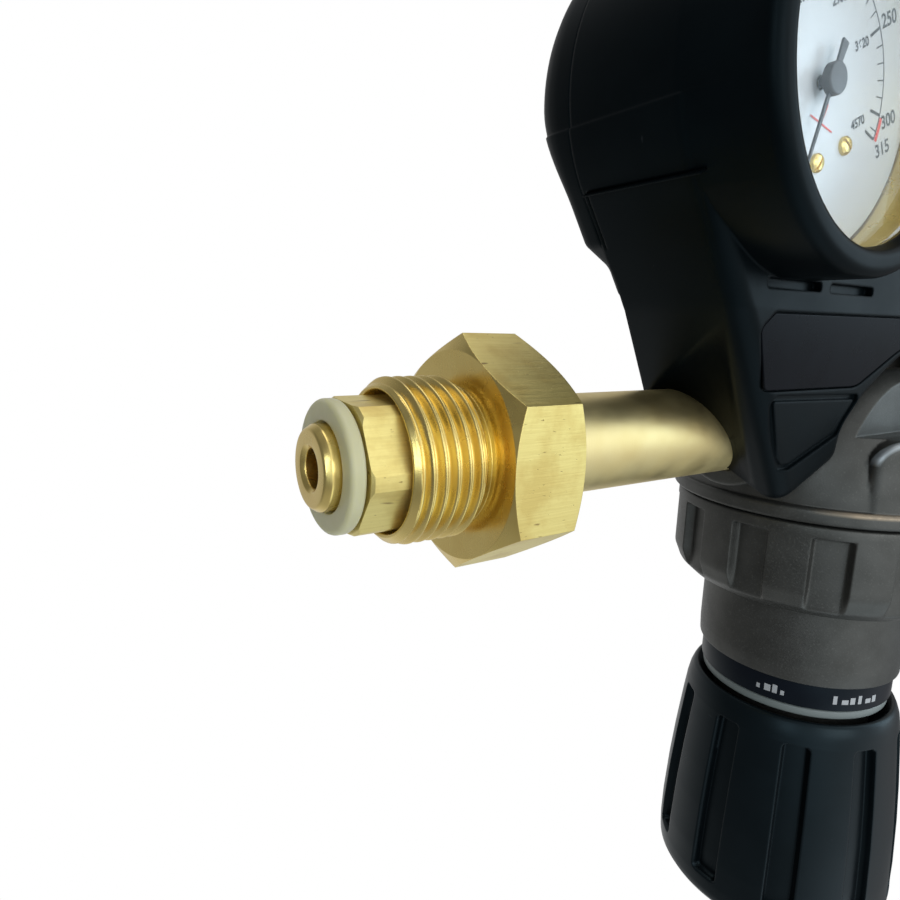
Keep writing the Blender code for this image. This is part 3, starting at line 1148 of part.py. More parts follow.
def make_relief_valve():
    """The safety valve of the low pressure side: body, poppet and spring."""
    place = Matrix.Translation((0, RELIEF_Y, 0))
    boss_top = INLET_Z + RELIEF_BOSS_TOP
    low = boss_top - RELIEF_SHANK
    hex_low = boss_top + FIT
    hex_top = hex_low + RELIEF_HEX
    cap_top = hex_top + RELIEF_CAP
    body = chamfered_hex("relief_body", RELIEF_HEX_FLATS, RELIEF_HEX_FLATS / 2, hex_low, hex_top, "brass", place)
    join(body, turned("relief_barrel", [(0, low), (RELIEF_SHANK_R, low), (RELIEF_SHANK_R, hex_low + 0.001),
                                        (RELIEF_CAP_R, hex_low + 0.002), (RELIEF_CAP_R, cap_top - 0.001),
                                        (RELIEF_CAP_R - 0.001, cap_top), (0, cap_top)], 14, None, place))
    seat = low + 0.0018
    roof = cap_top - 0.0016
    cut(body, turned("relief_way", [(0, low - 0.001), (RELIEF_VENT_R, low - 0.001), (RELIEF_VENT_R, seat),
                                    (RELIEF_BORE_R, seat), (RELIEF_BORE_R, roof), (RELIEF_VENT_R, roof),
                                    (RELIEF_VENT_R, cap_top + 0.001), (0, cap_top + 0.001)], 12, None, place))
    poppet_top = seat + FIT + 0.0032
    turned("relief_poppet", [(0, seat + FIT), (RELIEF_BORE_R - RUN_GAP, seat + FIT), (RELIEF_BORE_R - RUN_GAP, poppet_top),
                             (0.0012, poppet_top), (0.0012, poppet_top + 0.002), (0, poppet_top + 0.002)], 10, "brass", place)
    coil("relief_spring", RELIEF_BORE_R - RUN_GAP - 0.0005, 0.00045, 4, poppet_top + FIT, roof - FIT, 9, 4, "steel", place)


def main():
    for old in list(bpy.data.objects):
        bpy.data.objects.remove(old, do_unlink=True)
    make_materials()
    make_inlet()
    make_body()
    make_valve()
    make_diaphragm()
    make_ring_nut()
    make_bonnet()
    make_adjusting_gear()
    make_knob()
    make_rings()
    make_gauge("left_gauge", -1)
    make_gauge("right_gauge", 1)
    make_front_cover()
    make_rear_cover()
    make_outlet()
    make_relief_valve()


main()
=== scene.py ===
import math

import bmesh
import bpy
from mathutils import Matrix, Vector


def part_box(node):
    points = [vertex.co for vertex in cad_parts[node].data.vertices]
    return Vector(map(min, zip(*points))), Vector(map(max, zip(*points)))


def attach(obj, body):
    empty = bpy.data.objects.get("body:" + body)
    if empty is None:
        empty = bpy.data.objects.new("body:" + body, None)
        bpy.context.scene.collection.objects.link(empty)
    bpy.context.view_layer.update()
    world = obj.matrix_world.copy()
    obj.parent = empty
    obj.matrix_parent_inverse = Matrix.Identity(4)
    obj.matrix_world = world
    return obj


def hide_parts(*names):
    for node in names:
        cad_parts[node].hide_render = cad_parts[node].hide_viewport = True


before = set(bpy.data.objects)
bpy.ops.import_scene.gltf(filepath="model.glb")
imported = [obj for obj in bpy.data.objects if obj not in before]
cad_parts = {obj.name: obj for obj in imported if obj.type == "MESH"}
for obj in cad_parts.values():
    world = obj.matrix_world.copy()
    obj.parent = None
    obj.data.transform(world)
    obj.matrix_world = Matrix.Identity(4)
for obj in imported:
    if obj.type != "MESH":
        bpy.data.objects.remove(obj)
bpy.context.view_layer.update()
print("frame loaded:", len(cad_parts), "nodes")

inletZ = 0.113  # height of the inlet and outlet axis
flangeTop = 0.099
toInlet = Matrix.Translation((0, 0, inletZ)) @ Matrix.Rotation(math.radians(-90), 4, "Y")
toOutlet = Matrix.Translation((0, 0, inletZ)) @ Matrix.Rotation(math.radians(90), 4, "Y")
facing = Matrix.Translation((0, 0, inletZ)) @ Matrix.Rotation(math.radians(90), 4, "X")


# ---- node helpers for the materials

def newMaterial(name, colour, roughness, metallic=0.0):
    made = bpy.data.materials.new(name)
    made.use_nodes = True
    shader = made.node_tree.nodes["Principled BSDF"]
    shader.inputs["Base Color"].default_value = (*colour, 1)
    shader.inputs["Roughness"].default_value = roughness
    shader.inputs["Metallic"].default_value = metallic
    return made, made.node_tree, shader


def addNode(tree, kind, **values):
    made = tree.nodes.new(kind)
    for key, value in values.items():
        spot = key.replace("_", " ")
        if spot in made.inputs:
            made.inputs[spot].default_value = value
        else:
            setattr(made, key, value)
    return made


def objectSpace(tree, stretch=(1, 1, 1)):
    coords = addNode(tree, "ShaderNodeTexCoord")
    mapping = addNode(tree, "ShaderNodeMapping")
    mapping.inputs["Scale"].default_value = stretch
    tree.links.new(coords.outputs["Object"], mapping.inputs["Vector"])
    return mapping.outputs["Vector"]


def noiseOn(tree, vector, scale, detail=3.0, rough=0.55):
    made = addNode(tree, "ShaderNodeTexNoise", Scale=scale, Detail=detail, Roughness=rough)
    tree.links.new(vector, made.inputs["Vector"])
    return made.outputs["Fac"]


def mapped(tree, value, fromLow, fromHigh, toLow, toHigh):
    made = addNode(tree, "ShaderNodeMapRange")
    for spot, number in zip(("From Min", "From Max", "To Min", "To Max"), (fromLow, fromHigh, toLow, toHigh)):
        made.inputs[spot].default_value = number
    tree.links.new(value, made.inputs["Value"])
    return made.outputs["Result"]


def mixed(tree, share, first, second):
    made = addNode(tree, "ShaderNodeMix", data_type="RGBA")
    tree.links.new(share, made.inputs["Factor"])
    for spot, value in ((6, first), (7, second)):
        if isinstance(value, tuple):
            made.inputs[spot].default_value = (*value, 1)
        else:
            tree.links.new(value, made.inputs[spot])
    return made.outputs[2]


def bumped(tree, shader, heights, bevel=0.0):
    # heights: pairs of (value, depth in metres), stacked; bevel rounds the edges that the mesh leaves sharp
    last = None
    if bevel:
        edge = addNode(tree, "ShaderNodeBevel", samples=6, Radius=bevel)
        last = edge.outputs["Normal"]
    for value, depth in heights:
        made = addNode(tree, "ShaderNodeBump", Strength=1.0, Distance=depth)
        tree.links.new(value, made.inputs["Height"])
        if last:
            tree.links.new(last, made.inputs["Normal"])
        last = made.outputs["Normal"]
    if last:
        tree.links.new(last, shader.inputs["Normal"])


# ---- materials

def radiusAndAxes(tree):
    # the distance from the local Z axis, and the three coordinates one by one
    coords = addNode(tree, "ShaderNodeTexCoord")
    split = addNode(tree, "ShaderNodeSeparateXYZ")
    tree.links.new(coords.outputs["Object"], split.inputs["Vector"])
    flat = addNode(tree, "ShaderNodeCombineXYZ")
    for axis in "XY":
        tree.links.new(split.outputs[axis], flat.inputs[axis])
    length = addNode(tree, "ShaderNodeVectorMath", operation="LENGTH")
    tree.links.new(flat.outputs["Vector"], length.inputs[0])
    return length.outputs["Value"], split.outputs


def turnedRings(tree, spacing):
    # noise that only varies along the local axis and with the distance from it
    radius, axes = radiusAndAxes(tree)
    pair = addNode(tree, "ShaderNodeCombineXYZ")
    tree.links.new(radius, pair.inputs["X"])
    tree.links.new(axes["Z"], pair.inputs["Y"])
    return noiseOn(tree, pair.outputs["Vector"], 1 / spacing, 2)


def brassTurned(name="brassTurned", low=0.20, high=0.33, light=(0.76, 0.59, 0.21), deep=(0.70, 0.51, 0.16)):
    # lathe turned brass: fine rings, cloudy between two roughnesses and two colours
    made, tree, shader = newMaterial(name, (0.75, 0.57, 0.20), 0.24, 1)
    rings = turnedRings(tree, 0.00028)
    cloud = noiseOn(tree, objectSpace(tree), 240, 4)
    tree.links.new(mapped(tree, cloud, 0.3, 0.7, low, high), shader.inputs["Roughness"])
    tint = mixed(tree, mapped(tree, noiseOn(tree, objectSpace(tree), 90, 3), 0.35, 0.7, 0, 1), light, deep)
    tree.links.new(tint, shader.inputs["Base Color"])
    bumped(tree, shader, [(rings, 0.000008), (cloud, 0.000002)], 0.00015)
    return made


def brassDrawn():
    # drawn bar: streaks along the bar, pits, a few dark scores and a dull patch
    made, tree, shader = newMaterial("brassDrawn", (0.75, 0.60, 0.22), 0.33, 0.88)
    streak = noiseOn(tree, objectSpace(tree, (2600, 2600, 90)), 1.0, 4, 0.7)
    pits = noiseOn(tree, objectSpace(tree, (1, 1, 0.4)), 2700, 2)
    stain = noiseOn(tree, objectSpace(tree), 160, 5, 0.6)
    score = noiseOn(tree, objectSpace(tree, (700, 700, 160)), 1.0, 1)
    pitMask = mapped(tree, pits, 0.70, 0.78, 0, 1)
    scoreMask = mapped(tree, score, 0.74, 0.78, 0, 1)
    base = mixed(tree, mapped(tree, stain, 0.48, 0.66, 0, 1), (0.77, 0.64, 0.24), (0.66, 0.51, 0.17))
    base = mixed(tree, mapped(tree, streak, 0.42, 0.75, 0, 0.35), base, (0.54, 0.41, 0.13))
    base = mixed(tree, pitMask, base, (0.34, 0.23, 0.08))
    base = mixed(tree, scoreMask, base, (0.30, 0.20, 0.07))
    tree.links.new(base, shader.inputs["Base Color"])
    tree.links.new(mapped(tree, streak, 0.3, 0.7, 0.34, 0.47), shader.inputs["Roughness"])
    bumped(tree, shader, [(streak, 0.00003), (mapped(tree, pitMask, 0, 1, 1, 0), 0.00004)], 0.00012)
    return made


def nylonMilky():
    made, tree, shader = newMaterial("nylonMilky", (0.64, 0.60, 0.37), 0.28)
    shader.inputs["Subsurface Weight"].default_value = 0.6
    shader.inputs["Subsurface Radius"].default_value = (0.004, 0.004, 0.0022)
    shader.inputs["Subsurface Scale"].default_value = 0.6
    shader.inputs["Transmission Weight"].default_value = 0.3
    cloud = noiseOn(tree, objectSpace(tree), 500, 4)
    tree.links.new(mapped(tree, cloud, 0.3, 0.7, 0.3, 0.48), shader.inputs["Roughness"])
    bumped(tree, shader, [(cloud, 0.00001)])
    return made


paintedHighlightPlaces = {
    # where painted highlights go on the body, in metres: (what is measured, none from here, full from there)
    "rim": (("radius", 0.0296, 0.0299), ("Z", 0.0979, 0.0984), ("Y", -0.0135, -0.022)),
    "ledge": (("radius", 0.0280, 0.0284), ("radius", 0.02955, 0.0293), ("Z", 0.1078, 0.1092), ("Z", 0.1128, 0.1126),
              ("Y", -0.014, -0.017), ("X", -0.0216, -0.0213), ("X", 0.0216, 0.0213)),
}


def product(tree, values):
    last = values[0]
    for value in values[1:]:
        made = addNode(tree, "ShaderNodeMath", operation="MULTIPLY")
        tree.links.new(last, made.inputs[0])
        tree.links.new(value, made.inputs[1])
        last = made.outputs["Value"]
    return last


# the mask of a painted highlight, built from the limits of its place
def wornMask(tree, limits):
    radius, axes = radiusAndAxes(tree)
    return product(tree, [mapped(tree, radius if what == "radius" else axes[what], start, full, 0, 1)
                          for what, start, full in limits])


def darkCasting(name="darkCasting", paintedHighlights=False):
    # warm dark grey coating over a fine sandy casting
    made, tree, shader = newMaterial(name, (0.072, 0.072, 0.066), 0.40, 0.8)
    grain = noiseOn(tree, objectSpace(tree), 2600, 3, 0.6)
    cloud = noiseOn(tree, objectSpace(tree), 130, 4)
    tint = mixed(tree, mapped(tree, cloud, 0.35, 0.7, 0, 1), (0.084, 0.084, 0.078), (0.058, 0.058, 0.053))
    tint = mixed(tree, mapped(tree, grain, 0.56, 0.72, 0, 0.5), tint, (0.13, 0.13, 0.12))
    if paintedHighlights:
        # painted highlights: a blotchy warm line on the rim of the flange, and a bright one along the top edge of the
        # shoulder
        rim = product(tree, [wornMask(tree, paintedHighlightPlaces["rim"]), mapped(tree, cloud, 0.3, 0.6, 0.25, 0.9)])
        tint = mixed(tree, rim, tint, (0.42, 0.33, 0.23))
        tint = mixed(tree, wornMask(tree, paintedHighlightPlaces["ledge"]), tint, (0.50, 0.54, 0.56))
    tree.links.new(tint, shader.inputs["Base Color"])
    tree.links.new(mapped(tree, grain, 0.3, 0.7, 0.34, 0.52), shader.inputs["Roughness"])
    bumped(tree, shader, [(grain, 0.00002), (cloud, 0.00004)], 0.0005)
    return made


def blackMoulding(name, colour, low, high, grainDepth, bevel, shine):
    # moulded plastic: fine grain, cloudy roughness, few scuffs, bluish reflections
    made, tree, shader = newMaterial(name, colour, (low + high) / 2)
    shader.inputs["Specular IOR Level"].default_value = shine
    shader.inputs["Specular Tint"].default_value = (0.62, 0.88, 1.0, 1)
    grain = noiseOn(tree, objectSpace(tree), 3800, 3, 0.6)
    cloud = noiseOn(tree, objectSpace(tree), 70, 4)
    scuff = noiseOn(tree, objectSpace(tree, (900, 60, 900)), 1.0, 2)
    tint = mixed(tree, mapped(tree, cloud, 0.35, 0.75, 0, 1), colour, tuple(c * 1.7 for c in colour))
    tint = mixed(tree, mapped(tree, scuff, 0.77, 0.82, 0, 0.35), tint, (0.05, 0.053, 0.06))
    tree.links.new(tint, shader.inputs["Base Color"])
    tree.links.new(mapped(tree, cloud, 0.3, 0.7, low, high), shader.inputs["Roughness"])
    bumped(tree, shader, [(grain, grainDepth)], bevel)
    return made


def plainPaint(name, colour, roughness, depth=0.000004, metallic=0.0):
    made, tree, shader = newMaterial(name, colour, roughness, metallic)
    cloud = noiseOn(tree, objectSpace(tree), 700, 3)
    tree.links.new(mapped(tree, cloud, 0.3, 0.7, roughness - 0.06, roughness + 0.06), shader.inputs["Roughness"])
    bumped(tree, shader, [(cloud, depth)])
    return made


def clearPlastic():
    made, tree, shader = newMaterial("clearPlastic", (0.98, 0.985, 0.99), 0.03)
    shader.inputs["Transmission Weight"].default_value = 1
    shader.inputs["IOR"].default_value = 1.12
    wave = noiseOn(tree, objectSpace(tree), 60, 2)
    bumped(tree, shader, [(wave, 0.000006)])
    return made


brass = brassTurned()
drawn = brassDrawn()
nylon = nylonMilky()
casting = darkCasting()
# the body's casting, with painted highlights on the flange's rim and along the shoulder's top edge
castingPaintedHighlights = darkCasting("castingPaintedHighlights", True)
satin = brassTurned("brassSatin", 0.40, 0.50, (0.76, 0.64, 0.33), (0.70, 0.56, 0.26))
blacks = {
    # colour, lowest and highest roughness, depth of the grain, rounding of the edges, share of the shine
    "coverBlack": ((0.0012, 0.0022, 0.0028), 0.33, 0.44, 0.000005, 0.0006, 0.07),
    "knobBlack": ((0.0012, 0.0022, 0.0030), 0.27, 0.37, 0.000008, 0.00025, 0.22),
    "labelBlack": ((0.0035, 0.0035, 0.0048), 0.24, 0.32, 0.000002, 0.0002, 0.04),
    "bandBlack": ((0.003, 0.0035, 0.006), 0.26, 0.36, 0.000003, 0.0002, 0.15),
}
coverBlack, knobBlack, labelBlack, bandBlack = (blackMoulding(name, *values) for name, values in blacks.items())
# colour, roughness, depth of the unevenness, share of metal
paleRing = plainPaint("paleRing", (0.17, 0.195, 0.19), 0.42)
dialWhite = plainPaint("dialWhite", (0.44, 0.46, 0.47), 0.42, 0.0000004, 0.1)
printBlack = plainPaint("printBlack", (0.02, 0.02, 0.022), 0.5)
printRed = plainPaint("printRed", (0.55, 0.03, 0.02), 0.5)
printWhite = plainPaint("printWhite", (0.36, 0.37, 0.38), 0.5)
steel = plainPaint("steelSatin", (0.52, 0.52, 0.53), 0.3, 0.000006, 1)
rubber = plainPaint("rubberBlack", (0.02, 0.02, 0.02), 0.65, 0.00001)
bronze = plainPaint("bronzeSintered", (0.42, 0.26, 0.12), 0.6, 0.00003, 1)
crystal = clearPlastic()
print("materials made:", len(bpy.data.materials))

nodeLooks = {
    brass: "inlet_stem valve_seat valve_plug diaphragm_plate spring_carrier left_gauge_case left_gauge_socket "
           "left_gauge_movement right_gauge_case right_gauge_socket right_gauge_movement outlet_stem outlet_nut "
           "hose_tail relief_body relief_poppet inlet_nipple inlet_nut",
    steel: "valve_poppet valve_spring push_pin spring_plate spindle thrust_washer adjusting_spring knob_screw "
           "cover_screw_1 cover_screw_2 cover_screw_3 cover_screw_4 relief_spring",
    bronze: "inlet_filter left_gauge_bourdon_tube right_gauge_bourdon_tube",
    rubber: "diaphragm",
    nylon: "inlet_washer",
    casting: "body ring_nut bonnet",
    knobBlack: "knob knob_cap",
    bandBlack: "marking_band",
    paleRing: "light_ring",
    coverBlack: "front_cover rear_cover",
    labelBlack: "label_plate",
    dialWhite: "left_gauge_dial right_gauge_dial",
    printBlack: "left_gauge_pointer right_gauge_pointer",
    crystal: "left_gauge_crystal right_gauge_crystal",
}
for look, names in nodeLooks.items():
    for name in names.split():
        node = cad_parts[name]
        node.data.materials.clear()
        node.data.materials.append(look)


# ---- mesh helpers

def addMesh(name, verts, faces, look, place=None, sharp=38):
    mesh = bpy.data.meshes.new(name)
    mesh.from_pydata([tuple(v) for v in verts], [], faces)
    shape = bmesh.new()
    shape.from_mesh(mesh)
    bmesh.ops.remove_doubles(shape, verts=shape.verts, dist=1e-7)
    bmesh.ops.recalc_face_normals(shape, faces=shape.faces)
    shape.to_mesh(mesh)
    shape.free()
    mesh.shade_smooth()
    mesh.set_sharp_from_angle(angle=math.radians(sharp))
    if look:
        mesh.materials.append(look)
    made = bpy.data.objects.new(name, mesh)
    bpy.context.scene.collection.objects.link(made)
    if place is not None:
        made.matrix_world = place
    return made


def soften(corners, steps=5):
    # a closed outline of (a, b, radius): each corner with a radius becomes an arc
    path = []
    for i, corner in enumerate(corners):
        here = Vector(corner[:2])
        size = corner[2] if len(corner) > 2 else 0
        before = Vector(corners[i - 1][:2]) - here
        after = Vector(corners[(i + 1) % len(corners)][:2]) - here
        if size <= 0 or before.length < 1e-9 or after.length < 1e-9:
            path.append(tuple(here))
            continue
        turn = before.angle(after)
        if turn > math.pi - 0.03 or turn < 0.03:
            path.append(tuple(here))
            continue
        reach = min(size / math.tan(turn / 2), before.length * 0.49, after.length * 0.49)
        radius = reach * math.tan(turn / 2)
        first = here + before.normalized() * reach
        last = here + after.normalized() * reach
        middle = here + (before.normalized() + after.normalized()).normalized() * (radius / math.sin(turn / 2))
        low = math.atan2(first.y - middle.y, first.x - middle.x)
        sweep = (math.atan2(last.y - middle.y, last.x - middle.x) - low + math.pi) % math.tau - math.pi
        for k in range(steps + 1):
            angle = low + sweep * k / steps
            path.append((middle.x + radius * math.cos(angle), middle.y + radius * math.sin(angle)))
    return path


def lathe(name, corners, look, place=None, turns=128, steps=4):
    # spins a closed outline of (radius, height, rounding) round local Z
    rings, verts, faces = [], [], []
    for r, z in soften(corners, steps):
        if r < 1e-6:
            rings.append([len(verts)])
            verts.append((0, 0, z))
        else:
            rings.append(range(len(verts), len(verts) + turns))
            verts += [(r * math.cos(math.tau * i / turns), r * math.sin(math.tau * i / turns), z) for i in range(turns)]
    for a, b in zip(rings, rings[1:] + rings[:1]):
        if len(a) == 1 and len(b) == 1:
            continue
        for i in range(turns):
            j = (i + 1) % turns
            if len(a) == 1:
                faces.append((a[0], b[j], b[i]))
            elif len(b) == 1:
                faces.append((a[i], a[j], b[0]))
            else:
                faces.append((a[i], a[j], b[j], b[i]))
    return addMesh(name, verts, faces, look, place)


def hoop(name, inner, r, low, high, rounds, look, place=None, turns=128):
    # a plain turned ring with its two outer edges rounded, or a disc where inner is 0
    return lathe(name, [(inner, low), (r, low, rounds[0]), (r, high, rounds[1]), (inner, high)], look, place, turns)


def plug(name, r, low, high, look, place=None, turns=48):
    # a cylinder, as a tool for the booleans
    return hoop(name, 0, r, low, high, (0, 0), look, place, turns)


def wrapped(name, rows, look, place=None, turns=360, sharp=50):
    # a closed skin: each row is a function of the angle that gives (radius, height)
    verts, faces = [], []
    for row in rows:
        for i in range(turns):
            angle = math.tau * i / turns
            r, z = row(angle)
            verts.append((r * math.cos(angle), r * math.sin(angle), z))
    count = len(rows)
    for k in range(count):
        for i in range(turns):
            j = (i + 1) % turns
            n = (k + 1) % count
            faces.append((k * turns + i, k * turns + j, n * turns + j, n * turns + i))
    return addMesh(name, verts, faces, look, place, sharp)


def plainRow(r, z):
    return lambda angle: (r, z)


def prism(name, outline, low, high, look, place=None):
    count = len(outline)
    verts = [(x, y, low) for x, y in outline] + [(x, y, high) for x, y in outline]
    faces = [tuple(range(count)), tuple(range(count, 2 * count))]
    faces += [(i, (i + 1) % count, count + (i + 1) % count, count + i) for i in range(count)]
    return addMesh(name, verts, faces, look, place)


def layered(name, layers, look, place=None):
    # closed outlines with equally many points, each at its height
    count = len(layers[0][0])
    verts = [(x, y, z) for outline, z in layers for x, y in outline]
    faces = [tuple(range(count)), tuple(range(count * (len(layers) - 1), count * len(layers)))]
    for k in range(len(layers) - 1):
        for i in range(count):
            j = (i + 1) % count
            faces.append((k * count + i, k * count + j, (k + 1) * count + j, (k + 1) * count + i))
    return addMesh(name, verts, faces, look, place)


def bent(piece, planes, move):
    # cuts the mesh along the planes (spot, normal), then moves its points
    shape = bmesh.new()
    shape.from_mesh(piece.data)
    for spot, normal in planes:
        everything = shape.verts[:] + shape.edges[:] + shape.faces[:]
        bmesh.ops.bisect_plane(shape, geom=everything, plane_co=spot, plane_no=normal)
    for vertex in shape.verts:
        move(vertex.co)
    shape.to_mesh(piece.data)
    shape.free()
    return piece


def carve(target, tools, way="DIFFERENCE", sharp=30):
    # runs the booleans at once and keeps only the result
    for tool in tools:
        step = target.modifiers.new("cut", "BOOLEAN")
        step.operation = way
        step.object = tool
        step.solver = "EXACT"
    bpy.context.view_layer.update()
    result = bpy.data.meshes.new_from_object(target.evaluated_get(bpy.context.evaluated_depsgraph_get()))
    target.modifiers.clear()
    target.data = result
    result.shade_smooth()
    result.set_sharp_from_angle(angle=math.radians(sharp))
    for tool in tools:
        bpy.data.objects.remove(tool, do_unlink=True)
    return target


def merged(target, others):
    # puts other meshes into target as further shells
    shape = bmesh.new()
    back = target.matrix_world.inverted()
    shape.from_mesh(target.data)
    for other in others:
        copy = other.data.copy()
        copy.transform(back @ other.matrix_world)
        slot = target.data.materials.find(other.data.materials[0].name)
        if slot < 0:
            target.data.materials.append(other.data.materials[0])
            slot = len(target.data.materials) - 1
        first = len(shape.faces)
        shape.from_mesh(copy)
        shape.faces.ensure_lookup_table()
        for face in shape.faces[first:]:
            face.material_index = slot
        bpy.data.objects.remove(other, do_unlink=True)
    shape.to_mesh(target.data)
    shape.free()
    return target


def hexOutline(flats, turn=0.0):
    corner = flats / math.sqrt(3)
    return [(corner * math.cos(math.tau * i / 6 + turn), corner * math.sin(math.tau * i / 6 + turn)) for i in range(6)]


def turnedFaces(target):
    # the faces across the axis are lathe turned, the flats keep the drawn surface
    target.data.materials.append(brass)
    for face in target.data.polygons:
        if abs(face.normal.z) > 0.35:
            face.material_index = 1


def hexNut(name, flats, turnedR, low, high, place, bore):
    # a drawn hexagon, its corners turned down at both ends by cones of 30 degrees
    corner, over = flats / math.sqrt(3), 0.0001
    drop = (corner - turnedR) * math.tan(math.radians(30))
    near, far = turnedR - over * math.sqrt(3), corner + 3 * over
    made = prism(name, hexOutline(flats), low, high, drawn, place)
    cone = lathe("cone", [(0, low - over), (near, low - over), (far, low + drop + 1.7 * over),
                          (far, high - drop - 1.7 * over), (near, high + over), (0, high + over)], drawn, place, 192)
    carve(made, [cone], "INTERSECT", 16)
    if bore:
        carve(made, [plug("bore", bore, low - 0.001, high + 0.001, drawn, place, 96)], sharp=16)
    turnedFaces(made)
    return made


def arcPoints(middle, radius, first, last, steps):
    return [(middle[0] + radius * math.cos(math.radians(first + (last - first) * i / steps)),
             middle[1] + radius * math.sin(math.radians(first + (last - first) * i / steps))) for i in range(steps + 1)]


def withMirror(half):
    return half + [(-p[0], *p[1:]) for p in reversed(half) if abs(p[0]) > 1e-9]


def inset(outline, by):
    # moves every side of a closed outline inwards
    area = sum(a[0] * b[1] - b[0] * a[1] for a, b in zip(outline, outline[1:] + outline[:1]))
    sign = 1 if area > 0 else -1
    found = []
    for i, point in enumerate(outline):
        here = Vector(point)
        before = (here - Vector(outline[i - 1])).normalized()
        after = (Vector(outline[(i + 1) % len(outline)]) - here).normalized()
        normalA = Vector((-before.y, before.x)) * sign
        normalB = Vector((-after.y, after.x)) * sign
        middle = (normalA + normalB).normalized()
        found.append(tuple(here + middle * by / max(middle.dot(normalB), 0.4)))
    return found


def ease(value):
    value = min(max(value, 0.0), 1.0)
    return value * value * (3 - 2 * value)


def put(piece, body, slot, *nodes):
    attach(piece, body)
    if nodes:
        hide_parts(*nodes)


# ---- inlet: nut with its thread, nipple, washer, stem

inletSeat = 0.1041  # here the nut's inner step bears on the nipple's shoulder

inletNut = {
    "front": 0.112, "threadR": 0.011455, "threadDepth": 0.00118, "pitch": 0.001814, "chamferR": 0.01016, "rows": 130,
    "hexFront": 0.1001, "hexBack": 0.0881, "flats": 0.03005, "turnedR": 0.01499, "groove": 0.0014, "grooveLength": 0.0007,
    "boreR": 0.0097, "stemBoreR": 0.0085, "overlap": 0.0006,
}


def makeInletNut(v):
    def threadRow(z):
        # one start: the depth follows the angle, and the chamfer and the run-out groove cut it off
        def at(angle):
            phase = ((z - v["front"]) / v["pitch"] - angle / math.tau) % 1
            deep = 1 - abs(2 * phase - 1)
            deep = min(max((deep - 0.10) / 0.72, 0), 1)
            deep = 0.55 * deep + 0.45 * ease(deep)
            r = v["threadR"] - v["threadDepth"] * deep
            r = min(r, v["chamferR"] + (v["front"] - z) * 0.93)
            return min(r, v["threadR"] - v["groove"] + max(0, z - v["hexFront"] - v["grooveLength"]) * 1.1), z
        return at

    low = v["hexFront"] - v["overlap"]
    rows = [threadRow(low + (v["front"] - low) * i / v["rows"]) for i in range(v["rows"] + 1)]
    rows += [plainRow(v["boreR"] + 0.00025, v["front"]), plainRow(v["boreR"], v["front"] - 0.0003),
             plainRow(v["boreR"], inletSeat), plainRow(v["stemBoreR"], inletSeat), plainRow(v["stemBoreR"], low)]
    sleeve = wrapped("thread", rows, brass, toInlet, 180, 60)
    nut = hexNut("inletNutShape", v["flats"], v["turnedR"], v["hexBack"], v["hexFront"], toInlet, v["stemBoreR"])
    put(merged(nut, [sleeve]), "nut", "brass", "inlet_nut")


inletNipple = {
    "back": 0.0951, "tip": 0.1215, "noseR": 0.0057, "noseBack": 0.1165, "boreR": 0.00256, "spigotR": 0.0044,
    "collarFront": 0.1171, "collarBack": 0.1076, "flats": 0.017, "cornerR": 0.0093, "turn": math.radians(26),
}


def makeNipple(v):
    bore, nose, tip = v["boreR"], v["noseR"], v["tip"]
    back, front, corner = v["collarBack"], v["collarFront"], v["cornerR"]
    pipe = lathe("inletNippleShape", [
        (bore, v["back"]), (bore, tip - 0.0005, 0.0003), (bore + 0.0006, tip, 0.0003), (nose - 0.0006, tip, 0.0005),
        (nose, tip - 0.0009, 0.0004), (nose, v["noseBack"]), (v["spigotR"], v["noseBack"]), (v["spigotR"], v["back"])],
        brass, toInlet, 96)
    collar = prism("collar", hexOutline(v["flats"], v["turn"]), back, front, drawn, toInlet)
    envelope = lathe("envelope", [(0, back - 0.001), (corner, back - 0.001), (corner, front - 0.0004),
                                  (corner - 0.0005, front + 0.0001), (0, front + 0.0001)], brass, toInlet, 128)
    carve(collar, [envelope], "INTERSECT", 16)
    carve(collar, [plug("bore", bore, 0.10, 0.12, brass, toInlet, 64)], sharp=16)
    turnedFaces(collar)
    shoulder = hoop("shoulder", v["spigotR"], corner, inletSeat, back + 0.0002, (0.0004, 0.0003), brass, toInlet, 96)
    put(merged(pipe, [collar, shoulder]), "regulator", "brass", "inlet_nipple")


inletWasher = {"boreR": 0.006, "r": 0.00885, "back": 0.1174, "front": 0.1196, "edge": 0.0007}


def makeWasher(v):
    washer = lathe("inletWasherShape", [
        (v["boreR"], v["back"], 0.0002), (v["r"], v["back"], v["edge"]), (v["r"], v["front"], v["edge"]),
        (v["boreR"], v["front"], 0.0003)], nylon, toInlet, 128, 6)
    put(washer, "regulator", "nylon", "inlet_washer")


inletStem = {"r": 0.00808, "from": 0.0286, "end": 0.1038, "socketR": 0.0047, "socketFrom": 0.0948, "boreR": 0.005}


def makeStem(v):
    stem = lathe("inletStemShape", [
        (v["r"], v["from"]), (v["r"], v["end"], 0.0003), (v["socketR"], v["end"]), (v["socketR"], v["socketFrom"]),
        (v["boreR"], v["socketFrom"]), (v["boreR"], v["from"])], satin, toInlet, 160)
    put(stem, "regulator", "brass", "inlet_stem")


makeInletNut(inletNut)
makeNipple(inletNipple)
makeWasher(inletWasher)
makeStem(inletStem)
print("inlet made")

# ---- body with flange, dome, shoulder, crossbar and ports

